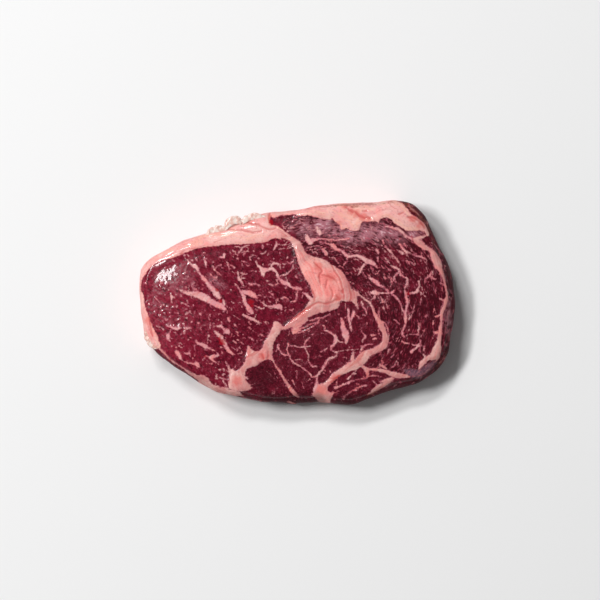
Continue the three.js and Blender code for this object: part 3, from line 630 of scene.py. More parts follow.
def ease(values: np.ndarray, low: float, high: float) -> np.ndarray:
    """Goes smoothly from 0 at low to 1 at high."""
    share = np.clip((values - low) / (high - low), 0, 1)
    return share * share * (3 - 2 * share)


def to_mm(pixels: Sequence[Sequence[float]]) -> np.ndarray:
    """Turns pixels of the photograph, with an optional width, into millimetres on the steak.

    Args:
        pixels: rows of x, y and, where there is one, a width.

    Returns:
        The same rows in millimetres, with Y pointing up the photograph.
    """
    rows = np.array(pixels, dtype=float)
    rows[:, 0] = (rows[:, 0] - ORIGIN_PX[0]) * PIXEL_MM
    rows[:, 1] = (ORIGIN_PX[1] - rows[:, 1]) * PIXEL_MM
    rows[:, 2:3] *= PIXEL_MM
    return rows


def rounded(rows: np.ndarray, closed: bool, steps: int) -> np.ndarray:
    """Rounds a run of points off with a Catmull-Rom curve through them.

    Args:
        rows: the points, one in each row.
        closed: whether the last point joins the first.
        steps: how many points replace each one.

    Returns:
        The denser points.
    """
    if closed:
        padded = np.vstack([rows[-1], rows, rows[:2]])
    else:
        padded = np.vstack([2 * rows[0] - rows[1], rows, 2 * rows[-1] - rows[-2]])
    before, start, end, after = padded[:-3], padded[1:-2], padded[2:-1], padded[3:]
    share = (np.arange(steps) / steps)[:, None, None]
    curve = 0.5 * (
        2 * start
        + (end - before) * share
        + (2 * before - 5 * start + 4 * end - after) * share**2
        + (3 * start - before - 3 * end + after) * share**3
    )
    curve = curve.transpose(1, 0, 2).reshape(-1, rows.shape[1])
    return curve if closed else np.vstack([curve, rows[-1]])


def depth_in_lines(points: np.ndarray, lines: Sequence[np.ndarray], reach: float) -> np.ndarray:
    """Measures how deep points lie inside any of the tapering lines.

    Args:
        points: x and y of each point, in millimetres.
        lines: each line's x, y and half width at its bends, in millimetres.
        reach: how far outside a line is still measured.

    Returns:
        The depth at each point, from -reach outside up to the half width on a line's middle.
    """
    depth = np.full(len(points), -reach)
    for line in lines:
        span = line[:, 2].max() + reach
        low, high = line[:, :2].min(0) - span, line[:, :2].max(0) + span
        near = np.flatnonzero(((points > low) & (points < high)).all(1))
        best = depth[near]
        for start, end in zip(line[:-1], line[1:]):
            run = end[:2] - start[:2]
            away = points[near] - start[:2]
            share = np.clip(away @ run / max(run @ run, 1e-9), 0, 1)
            gap = np.hypot(*(away - share[:, None] * run).T)
            best = np.maximum(best, start[2] + share * (end[2] - start[2]) - gap)
        depth[near] = best
    return depth


def depth_in_outline(points: np.ndarray, outline: np.ndarray) -> np.ndarray:
    """Measures how deep points lie inside a closed outline.

    Args:
        points: x and y of each point, in millimetres.
        outline: x and y of the outline's corners, in millimetres.

    Returns:
        The depth at each point; outside the outline it is below zero.
    """
    gap = np.full(len(points), np.inf)
    inside = np.zeros(len(points), dtype=bool)
    x, y = points.T
    for start, end in zip(outline, np.roll(outline, -1, axis=0)):
        run = end - start
        share = np.clip((points - start) @ run / max(run @ run, 1e-9), 0, 1)
        gap = np.minimum(gap, np.hypot(*(points - start - share[:, None] * run).T))
        crosses = (start[1] > y) != (end[1] > y)
        if crosses.any():
            at = start[0] + (y - start[1]) / (run[1] or 1e-9) * run[0]
            inside ^= crosses & (x < at)
    return np.where(inside, gap, -gap)


def stain(plan: np.ndarray, spots: Sequence[Bend], softness: float) -> np.ndarray:
    """Gives the strength of soft round stains.

    Args:
        plan: x and y of each point, in millimetres.
        spots: the middle and the radius of each stain, in pixels.
        softness: how far its edge fades, in millimetres.

    Returns:
        From 0 outside to 1 inside.
    """
    strength = np.zeros(len(plan))
    for x, y, radius in to_mm(spots):
        away = np.hypot(plan[:, 0] - x, plan[:, 1] - y)
        strength = np.maximum(strength, 1 - ease(away, radius * STAIN_CORE, radius + softness))
    return strength


def wander(points: np.ndarray, wave: float, seed: float) -> np.ndarray:
    """Makes a smooth uneven vector for each point.

    Args:
        points: x, y and z of each point, in millimetres.
        wave: the size of the unevenness, in millimetres.
        seed: moves the pattern to another part of the noise.

    Returns:
        Vectors with parts between about -1 and 1.
    """
    noise.seed_set(NOISE_SEED)
    shift = Vector((seed, 2 * seed, 3 * seed))
    return np.array([noise.noise_vector(Vector(point) / wave + shift) for point in points])


@dataclass(frozen=True)
class Flecks:
    """Small flecks of fat scattered over one muscle, too many to place by hand."""

    muscle: Muscle
    count: int
    length: tuple[float, float]  # mm, the least and the most
    half_width: tuple[float, float]  # mm
    turn_spread: float  # how far a fleck turns off the grain, in radians
    bend: float  # how far its middle leaves the straight line, as a share of its length


@dataclass(frozen=True)
class Meat:
    """What lies at each point of the skin. Depths are in millimetres, and below zero outside the part."""

    places: np.ndarray  # x, y and z
    plan: np.ndarray  # x and y on the plan of the cut
    broad_wobble: np.ndarray
    fine_wobble: np.ndarray
    owner: np.ndarray  # the Muscle values
    loin: np.ndarray
    rind: np.ndarray
    kernel: np.ndarray
    outer: np.ndarray  # the rind and the fat of the cap
    broad: np.ndarray  # all the broad fat
    seams: np.ndarray
    middling: np.ndarray  # the seams and the knot at the bottom
    fat: np.ndarray  # fat of any kind
    creases: np.ndarray
    # how deep in the dried edge, which also carries painted shade on the rim
    dried: np.ndarray
    bevel: np.ndarray


@dataclass(frozen=True)
class MeatMap:
    """Where the meat, its fat and its stains lie, as seen from above.

    The muscles run nearly straight through the steak, so one plan holds for both cut faces and the side.
    """

    reach: float = 3.0  # mm, how far from a line its distance is kept
    curve_steps: int = 3
    dot_reach: float = 0.2  # px, half the length of a single dot
    trim: float = 0.11  # mm, how much narrower a streak or a seam is than its soft picture
    broad_wave: float = 5.0  # mm
    broad_seed: float = 3.1
    fine_wave: float = 1.3  # mm
    fine_seed: float = 7.7
    plan_height: float = 22.0  # mm, below it the muscles leave the plan
    plan_shift: float = 0.15  # mm, how far they wander on the upper face
    foot_shift: float = 2.2  # mm, how much more they do at the foot
    fine_shift: float = 0.24  # mm
    cap_middle: tuple[float, float] = (331, 313)  # px, what the grain of the cap runs round
    cap_radius: float = 45.0  # mm, turns the angle round that middle into a length
    loin_turn: float = math.radians(-42)  # the grain of the loin eye falls to the right
    inner_bend: float = 0.02  # radians for each mm along X
    cap_stretch: tuple[float, float] = (0.2, 1.0)  # along the grain and across it
    loin_stretch: tuple[float, float] = (0.55, 1.0)
    inner_stretch: tuple[float, float] = (1.0, 0.8)
    half_area: tuple[float, float] = (78, 51)  # mm, where flecks are drawn
    draws: int = 8  # for each fleck, because most spots fall in another muscle
    taper: float = 0.4  # how wide a fleck's ends are, as a share of its middle
    quiet_edge: float = 3.0  # mm
    quiet_share: float = 0.8  # of the flecks that are left out in the quiet spots
    seed: int = 11
    flecks: tuple[Flecks, ...] = (
        Flecks(Muscle.LOIN, 430, (0.4, 2.0), (0.2, 0.44), 0.7, 0.14),
        Flecks(Muscle.CAP, 640, (1.2, 4.5), (0.07, 0.25), 0.24, 0.1),
        Flecks(Muscle.INNER, 150, (0.4, 1.8), (0.16, 0.32), 1.5, 0.15),
    )

    def read(self, places: np.ndarray) -> Meat:
        """Finds what lies at each point.

        Args:
            places: x, y and z of each point, in millimetres.

        Returns:
            The meat there.
        """
        broad_wobble = wander(places, self.broad_wave, self.broad_seed)
        fine_wobble = wander(places, self.fine_wave, self.fine_seed)
        down = np.clip((self.plan_height - places[:, 2]) / self.plan_height, 0, 1)[:, None]
        broad_shift = broad_wobble[:, :2] * (self.plan_shift + self.foot_shift * down)
        plan = places[:, :2] + broad_shift + self.fine_shift * fine_wobble[:, :2]

        rind, kernel, cap_fat, knot, loin = (
            depth_in_outline(plan, rounded(to_mm(outline), True, self.curve_steps))
            for outline in (RIND, KERNEL, CAP_FAT, BOTTOM_KNOT, LOIN_BORDER)
        )
        dots = tuple(
            ((x - self.dot_reach, y, width), (x + self.dot_reach, y, width)) for x, y, width in LOIN_DOTS
        )
        seams = self._depth(plan, LOOP_SEAM + LOWER_SEAM + OUTER_SEAM + STRAIGHT_SEAM) - self.trim
        streaks = self._depth(plan, LOIN_STREAKS + CAP_STREAKS + INNER_STREAKS + dots) - self.trim
        flecks = depth_in_lines(plan, self.scattered(), self.reach)
        broad = np.maximum.reduce([rind, kernel, cap_fat, knot])
        return Meat(
            places=places,
            plan=plan,
            broad_wobble=broad_wobble,
            fine_wobble=fine_wobble,
            owner=self.muscle_of(plan),
            loin=loin,
            rind=rind,
            kernel=kernel,
            outer=np.maximum(rind, cap_fat),
            broad=broad,
            seams=seams,
            middling=np.maximum(knot, seams),
            fat=np.maximum.reduce([broad, seams, streaks, flecks]),
            creases=self._depth(plan, CREASES),
            dried=self._depth(plan, DRIED_EDGE_AND_RIM_SHADE),
            bevel=depth_in_outline(places[:, :2], to_mm(RIND_BEVEL)),
        )

    def _depth(self, plan: np.ndarray, lines: Sequence[Line]) -> np.ndarray:
        """Measures how deep points of the plan lie in lines that are given in pixels."""
        curves = [rounded(to_mm(line), False, self.curve_steps) for line in lines]
        return depth_in_lines(plan, curves, self.reach)

    def muscle_of(self, points: np.ndarray) -> np.ndarray:
        """Tells which muscle each point is in.

        Args:
            points: x and y of each point, in millimetres.

        Returns:
            The Muscle values.
        """
        owner = np.full(len(points), Muscle.CAP.value)
        owner[depth_in_outline(points, to_mm(INNER_BORDER)) > 0] = Muscle.INNER.value
        owner[depth_in_outline(points, to_mm(LOIN_BORDER)) > 0] = Muscle.LOIN.value
        return owner

    def grain_turn(self, points: np.ndarray, muscle: Muscle) -> np.ndarray:
        """Gives the direction of the grain at points of one muscle.

        Args:
            points: x and y of each point, in millimetres.
            muscle: the muscle.

        Returns:
            Each direction, in radians from +X.
        """
        if muscle is Muscle.CAP:
            away = points - to_mm([self.cap_middle])[0]
            return np.arctan2(away[:, 1], away[:, 0]) + math.pi / 2
        if muscle is Muscle.INNER:
            return math.pi / 2 + points[:, 0] * self.inner_bend
        return np.full(len(points), self.loin_turn)

    def grain(self, points: np.ndarray, owner: np.ndarray) -> np.ndarray:
        """Gives each point's place along and across the grain, in millimetres.

        Args:
            points: x and y of each point.
            owner: the muscle that it is in.

        Returns:
            The place along the grain, which is drawn out, and across it.
        """
        away = points - to_mm([self.cap_middle])[0]
        cap = np.column_stack([self.cap_radius * np.arctan2(away[:, 1], away[:, 0]), np.hypot(*away.T)])
        cos, sin = math.cos(self.loin_turn), math.sin(self.loin_turn)
        loin = points @ np.array([[cos, -sin], [sin, cos]])
        in_cap = (owner == Muscle.CAP.value)[:, None]
        in_loin = (owner == Muscle.LOIN.value)[:, None]
        others = np.where(in_loin, loin * self.loin_stretch, points * self.inner_stretch)
        return np.where(in_cap, cap * self.cap_stretch, others)

    def scattered(self) -> list[np.ndarray]:
        """Draws the small flecks: short bent lines, with their ends tapered, along the grain.

        Returns:
            The x, y and half width at each fleck's ends and middle, in millimetres.
        """
        rng = np.random.default_rng(self.seed)
        area = np.array(self.half_area)
        lines = []
        for kind in self.flecks:
            spots = rng.uniform(-area, area, (kind.count * self.draws, 2))
            spots = spots[self.muscle_of(spots) == kind.muscle.value][: kind.count]
            quiet = stain(spots, QUIET_SPOTS, self.quiet_edge)
            spots = spots[rng.uniform(size=len(spots)) > self.quiet_share * quiet]
            for spot, turn in zip(spots, self.grain_turn(spots, kind.muscle)):
                turn += rng.normal(0, kind.turn_spread)
                length = rng.uniform(*kind.length)
                width = rng.uniform(*kind.half_width)
                along = np.array([math.cos(turn), math.sin(turn)])
                across = along[::-1] * (-1, 1)
                middle = spot + across * rng.normal(0, kind.bend) * length
                start, end = spot - along * length / 2, spot + along * length / 2
                tip = width * self.taper
                lines.append(np.array([[*start, tip], [*middle, width], [*end, tip]]))
        return lines


@dataclass
class MeatSkin:
    """The steak itself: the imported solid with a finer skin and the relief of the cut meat.

    A pair of numbers gives the depth or the height at which a value starts to rise, and where it is full.
    """

    node: str = "steak"
    body: str = "root"
    slot: str = "raw_beef"
    meat_map: MeatMap = MeatMap()
    bulge_height: float = 9.0  # mm, below it the side is seen little
    foot_height: float = 0.5  # mm, below it nothing is smoothed
    weld: float = 0.001  # mm
    fine_cuts: int = 4
    coarse_cuts: int = 1
    smoothing: int = 8
    steepness: float = 0.6  # faces that point up or down by less than this are the drier side

    # What the finish reads.
    fat_edge: tuple[float, float] = (-0.3, 0.5)  # mm
    seam_kind: float = 0.3  # what kind of fat a seam is, where a streak is 0 and the rind is 1
    heart_kind: float = 0.25  # how much more the middle of the kernel is
    heart_edge: float = 6.0  # mm
    fat_reach: float = 4.0  # mm, the deepest that is kept
    dried_shade_edge: tuple[float, float] = (-1.2, 0.8)  # mm
    dried_shade_wobble: float = 0.8  # mm
    dried_shade_heights: tuple[float, float] = (12, 19)  # mm, the dried brown and its painted shade lie above these heights
    height_wobble: float = 3.0  # mm
    film_edge: tuple[float, float] = (-1.2, 1.3)  # mm
    low_shade_heights: tuple[float, float] = (13, 22)  # mm, painted shade: the side is painted darker below these heights
    # Painted light: the lean is painted brighter on the left, towards the lamps, and along the rind.
    lit_side_span: tuple[float, float] = (20, 78)  # mm left of the middle, where the muscle is painted brighter as painted light from the lamps
    lit_rind_edge: tuple[float, float] = (-3.5, -0.3)  # mm from the rind, along which the painted light is too
    lit_rind_share: float = 0.8
    blood_edge: float = 0.8  # mm
    blood_wobble: float = 0.7  # mm
    flush_edge: float = 1.5  # mm
    dark_shade_edge: float = 2.5  # mm, how far the darker muscle and the painted rim shade fade
    layer_run: tuple[float, float] = (0.16, 0.1)  # how far the layers of fat are drawn out along the rind
    layer_height: float = 0.3  # and up the side
    layer_wave: float = 1.5  # mm, how far they wander
    layer_margin: float = -0.5  # mm, how deep in the outer fat they follow it, and not the loin eye
    loin_share: float = 0.6  # how much slower they change round the loin eye

    # The relief.
    broad_rise: float = 0.22  # mm, how far the broad fat stands out of the cut
    broad_slope: tuple[float, float] = (-0.6, 1.4)  # mm
    streak_rise: float = 0.14  # mm, the same for the marbling
    streak_slope: tuple[float, float] = (-0.3, 0.4)  # mm
    crease_depth: float = 0.3  # mm
    crease_slope: tuple[float, float] = (-0.7, 0.4)  # mm
    crease_fat: tuple[float, float] = (0, 0.8)  # mm, how deep in the fat a crease starts and is full
    bevel_depth: float = 0.11  # mm, how far the rind's soft edge is flattened
    bevel_width: float = 0.7  # mm
    bevel_ridge: float = 3.6  # how many widths inside the line it is raised
    bevel_hollow: float = 1.7  # and lowered
    broad_waviness: float = 0.1  # mm
    fine_waviness: float = 0.05  # mm, on the muscle
    rind_calm: float = 0.03  # mm, how much less it is on the smooth rind
    rind_edge: tuple[float, float] = (-0.5, 1)  # mm
    foot_slope: tuple[float, float] = (0.3, 3.0)  # mm, below it the foot stays flat

    def build(self) -> bpy.types.Object:
        """Makes the finer skin, with its relief and the values that the finish reads.

        Returns:
            The steak's object.
        """
        shell = bmesh.new()
        shell.from_mesh(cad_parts[self.node].data)
        bmesh.ops.remove_doubles(shell, verts=shell.verts, dist=self.weld * MM)
        self._refine(shell)
        steak = shell_object("raw_steak", shell)
        self._dress(steak.data)
        self._mark_side(steak.data)
        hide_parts(self.node)
        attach(steak, self.body)
        return steak

    def _refine(self, shell: bmesh.types.BMesh) -> None:
        """Splits the faces and takes the facets out, keeping the flat foot where it is.

        Args:
            shell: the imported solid's copy.
        """
        level = self.bulge_height * MM - 1e-5
        upper = {face for face in shell.faces if min(v.co.z for v in face.verts) > level}
        fine = {edge for face in upper for edge in face.edges}
        coarse = [edge for edge in shell.edges if edge not in fine]
        bmesh.ops.subdivide_edges(shell, edges=coarse, cuts=self.coarse_cuts, use_grid_fill=True)
        fine = [e for e in shell.edges if e.is_valid and min(v.co.z for v in e.verts) > level]
        bmesh.ops.subdivide_edges(shell, edges=fine, cuts=self.fine_cuts, use_grid_fill=True)
        bmesh.ops.triangulate(shell, faces=shell.faces)
        loose = [vert for vert in shell.verts if vert.co.z > self.foot_height * MM]
        for _ in range(self.smoothing):
            bmesh.ops.smooth_vert(
                shell, verts=loose, factor=0.5, use_axis_x=True, use_axis_y=True, use_axis_z=True
            )
        bmesh.ops.recalc_face_normals(shell, faces=shell.faces)

    def _dress(self, mesh: bpy.types.Mesh) -> None:
        """Writes the meat's values onto the mesh and raises its relief.

        Args:
            mesh: the finer skin.
        """
        meat = self.meat_map.read(read_vectors(mesh.vertices, "co") / MM)
        for name, values in self._values(meat).items():
            kind, field = ("FLOAT", "value") if values.ndim == 1 else ("FLOAT_VECTOR", "vector")
            attribute = mesh.attributes.new(name, kind, "POINT")
            attribute.data.foreach_set(field, values.astype(np.float32).ravel())
        places = meat.places + read_vectors(mesh.vertices, "normal") * self._rise(meat)[:, None]
        mesh.vertices.foreach_set("co", (places * MM).astype(np.float32).ravel())
        mesh.polygons.foreach_set("use_smooth", [True] * len(mesh.polygons))
        mesh.update()

    def _values(self, meat: Meat) -> dict[str, np.ndarray]:
        """Works out the values that the finish reads.

        Args:
            meat: what lies at each point.

        Returns:
            A number or a vector for each point, by its name.
        """
        plan, height, wave = meat.plan, meat.places[:, 2], meat.broad_wobble[:, 0]
        heart = self.seam_kind + self.heart_kind * stain(plan, KERNEL_HEART, self.heart_edge)
        kind = self.seam_kind * ease(meat.middling, *self.fat_edge)
        kind = np.maximum(kind, heart * ease(meat.kernel, *self.fat_edge))
        # The dried brown on the upper rim, darkened as painted shade.
        upper = ease(height + self.height_wobble * meat.broad_wobble[:, 1], *self.dried_shade_heights)
        dried = ease(meat.dried + self.dried_shade_wobble * meat.fine_wobble[:, 1], *self.dried_shade_edge)
        # Painted light along the rind, which faces the lamps.
        lit_near_rind = self.lit_rind_share * ease(meat.rind, *self.lit_rind_edge)
        in_fat = meat.outer + self.layer_wave * wave
        round_loin = self.loin_share * meat.loin + self.loin_share * wave
        across = np.where(meat.outer > self.layer_margin, in_fat, round_loin)
        bloody = plan + self.blood_wobble * meat.fine_wobble[:, :2]
        film = depth_in_outline(plan, to_mm(SILVERSKIN))
        reach = self.meat_map.reach
        return {
            "fat": np.clip(meat.fat, -reach, self.fat_reach),
            "fat_kind": np.maximum(kind, ease(meat.outer, *self.fat_edge)),
            "crease": np.clip(meat.creases, -reach, 1),
            "dried": dried * upper,
            "blood": stain(bloody, BLOOD_SPOTS, self.blood_edge),
            "flush": stain(plan, FLUSHED_FAT, self.flush_edge),
            # Darker muscle, and painted shade along the bottom rim.
            "dark": stain(plan, DARK_MUSCLE_AND_RIM_SHADE, self.dark_shade_edge),
            "film": ease(film, *self.film_edge),
            # Silverskin, and a painted sheen of reflected light.
            "sheen_and_silverskin": self._sheen_and_silverskin(plan),
            "muscle": meat.owner.astype(float),
            # Painted shade: darker towards the bottom of the side.
            "painted_low_shade": 1 - ease(height, *self.low_shade_heights),
            # Painted light: brighter lean on the left and along the rind.
            "painted_lit_side": np.maximum(ease(-plan[:, 0], *self.lit_side_span), lit_near_rind),
            "grain": np.column_stack([self.meat_map.grain(plan, meat.owner), height]),
            "layers": np.column_stack([plan @ self.layer_run, across, height * self.layer_height]),
        }

    def _rise(self, meat: Meat) -> np.ndarray:
        """Works out how far each point stands out of the plain skin.

        Args:
            meat: what lies at each point.

        Returns:
            The rise, in millimetres.
        """
        rise = self.broad_rise * ease(np.maximum(meat.broad, meat.seams), *self.broad_slope)
        rise = np.maximum(rise, self.streak_rise * ease(meat.fat, *self.streak_slope))
        bevel = meat.bevel / self.bevel_width
        ridge = np.exp(-((bevel - self.bevel_ridge) ** 2))
        rise += self.bevel_depth * (ridge - np.exp(-((bevel - self.bevel_hollow) ** 2)))
        in_fat = ease(meat.broad, *self.crease_fat)
        rise -= self.crease_depth * ease(meat.creases, *self.crease_slope) * in_fat
        fine_waviness = self.fine_waviness - self.rind_calm * ease(meat.rind, *self.rind_edge)
        rise += self.broad_waviness * meat.broad_wobble[:, 2] + fine_waviness * meat.fine_wobble[:, 2]
        return rise * ease(meat.places[:, 2], *self.foot_slope)

    def _mark_side(self, mesh: bpy.types.Mesh) -> None:
        """Gives the steep faces of the side the second finish.

        Args:
            mesh: the dressed skin.
        """
        steep = np.abs(read_vectors(mesh.polygons, "normal")[:, 2]) < self.steepness
        mesh.polygons.foreach_set("material_index", steep.astype(np.int32))

    @staticmethod
    def _sheen_and_silverskin(plan: np.ndarray) -> np.ndarray:
        """Gives the strength of the silverskin and of the painted sheen.

        Args:
            plan: x and y of each point, in millimetres.

        Returns:
            From 0 to 1.
        """
        strength = np.zeros(len(plan))
        for x, y, radius, share in SHEEN_AND_SILVERSKIN_SPOTS:
            middle = to_mm([(x, y)])[0]
            away = np.hypot(*(plan - middle).T) / (radius * PIXEL_MM)
            strength = np.maximum(strength, share * np.exp(-(away**2)))
        return strength


@dataclass(frozen=True)
class Flap:
    """A torn flap of membrane: where it hangs on the rim, in pixels, and how far it stands out."""

    rim: Outline
    width: float  # mm, at its middle
    height: float  # mm, of the rim there
    curl: float  # mm, how far its free edge turns up


@dataclass
class Membranes:
    """The loose flaps of thin membrane that the trimming left on the rim."""

    body: str = "root"
    slot: str = "raw_beef"
    along: int = 36
    across: int = 8
    curve_steps: int = 12
    thickness: float = 0.35  # mm
    root: float = 2.0  # mm, how far a flap starts inside the rim
    raggedness: float = 0.6  # mm
    fullness: float = 0.6  # less makes the flap's ends blunter
    torn_wave: float = 1.4  # mm
    ripple_wave: float = 1.8  # mm
    torn_seed: float = 5.0
    ripple_seed: float = 9.0
    flaps: tuple[Flap, ...] = (
        Flap(((205, 235.5), (210, 232), (215, 229.5), (220, 228), (226, 227)), 1.7, 21, -0.4),
        Flap(((224, 227), (228.5, 223), (233, 220.5), (238, 220), (242, 221)), 2.4, 21.4, -0.5),
        Flap(((241, 221), (247, 217.5), (252, 216), (258, 216), (266, 217)), 1.6, 21.4, -0.3),
        Flap(((157, 349), (152, 346), (148, 340), (146.5, 334), (147, 329)), 1.4, 18.5, -0.3),
    )

    def build(self) -> bpy.types.Object:
        """Makes the flaps as one piece.

        Returns:
            Their object.
        """
        shell = bmesh.new()
        for flap in self.flaps:
            self._hang(shell, flap)
        bmesh.ops.recalc_face_normals(shell, faces=shell.faces)
        bmesh.ops.solidify(shell, geom=shell.faces[:], thickness=self.thickness * MM)
        piece = shell_object("torn_membranes", shell)
        piece.data.polygons.foreach_set("use_smooth", [True] * len(piece.data.polygons))
        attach(piece, self.body)
        return piece

    def _hang(self, shell: bmesh.types.BMesh, flap: Flap) -> None:
        """Bends a flat grid into one flap, with its root inside the steak.

        Args:
            shell: the mesh that it joins.
            flap: the flap.
        """
        made = bmesh.ops.create_grid(shell, x_segments=self.along, y_segments=self.across, size=1)
        rim = rounded(to_mm(flap.rim), False, self.curve_steps)
        for vert in made["verts"]:
            share, out = (vert.co.x + 1) / 2, (vert.co.y + 1) / 2
            at = share * (len(rim) - 1)
            index = min(int(at), len(rim) - 2)
            run = rim[index + 1] - rim[index]
            spot = rim[index] + run * (at - index)
            outward = np.array([-run[1], run[0]]) / np.hypot(*run)
            outward *= 1 if outward @ spot > 0 else -1
            torn = noise.noise(Vector((*(spot / self.torn_wave), self.torn_seed)))
            reach = flap.width * math.sin(math.pi * share) ** self.fullness + self.raggedness * torn
            spot = spot + outward * (out * (reach + self.root) - self.root)
            ripple = self.raggedness * noise.noise(Vector((*(spot / self.ripple_wave), self.ripple_seed)))
            vert.co = Vector((*spot, flap.height + flap.curl * out**2 + ripple * out)) * MM


@dataclass(frozen=True)
class Layer:
    """A colour laid over those under it where a value rises from low to high."""

    value: Socket
    low: float
    high: float
    strength: float | Socket
    colour: str | Socket


def paint(tree: Tree, base: str | Socket, layers: Sequence[Layer]) -> Socket:
    """Lays colours over a first one, in order.

    Args:
        tree: the node tree.
        base: the first colour.
        layers: the colours over it, at least one.

    Returns:
        The last colour.
    """
    under = to_linear(base) if isinstance(base, str) else base
    for layer in layers:
        span = {"Value": layer.value, "From Min": layer.low, "From Max": layer.high, "To Max": layer.strength}
        share = add_node(tree, "ShaderNodeMapRange", span, interpolation_type="SMOOTHSTEP")
        over = to_linear(layer.colour) if isinstance(layer.colour, str) else layer.colour
        inputs = {MIX_SHARE: share, MIX_UNDER: under, MIX_OVER: over}
        under = add_node(tree, "ShaderNodeMix", inputs, MIX_COLOUR, data_type="RGBA")
    return under


@dataclass(frozen=True)
class ThinMembrane:
    """Thin wet membrane: whitish, lets light through and glints along its folds."""

    name: str = "thin_wet_membrane"
    pale: str = "EBD9D0"
    pink: str = "DDB0A4"
    patch: float = 1.6  # mm
    roughness: float = 0.22
    ior: float = 1.45
    scatter: float = 0.1
    scatter_depth: float = 0.8  # mm
    scatter_spread: tuple[float, float, float] = (1.0, 0.8, 0.7)  # of red, green and blue light
    bump: float = 0.12  # mm

    def make(self) -> bpy.types.Material:
        """Makes the material.

        Returns:
            The finished material.
        """
        material = new_material(self.name)
        tree = material.node_tree
        place = add_node(tree, "ShaderNodeTexCoord", out="Object")
        mottle = {"Vector": place, "Scale": 1 / (self.patch * MM), "Detail": 2.0}
        mottle = add_node(tree, "ShaderNodeTexNoise", mottle)
        shader = {
            "Base Color": paint(tree, self.pale, (Layer(mottle, 0.38, 0.58, 1.0, self.pink),)),
            "Roughness": self.roughness,
            "IOR": self.ior,
            "Subsurface Weight": self.scatter,
            "Subsurface Radius": self.scatter_spread,
            "Subsurface Scale": self.scatter_depth * MM,
            "Normal": add_node(tree, "ShaderNodeBump", {"Height": mottle, "Distance": self.bump * MM}),
        }
        shader = add_node(tree, "ShaderNodeBsdfPrincipled", shader)
        add_node(tree, "ShaderNodeOutputMaterial", {"Surface": shader})
        return material


class Space(Enum):
    """What a pattern runs along: the meat's grain, its layers of fat, or plain space."""

    GRAIN = "grain"
    LAYERS = "layers"
    OBJECT = "object"


@dataclass(frozen=True)
class Pattern:
    """A pattern of noise, which is 0.5 on average."""

    name: str
    space: Space
    wave: float  # mm
    detail: float
    distortion: float


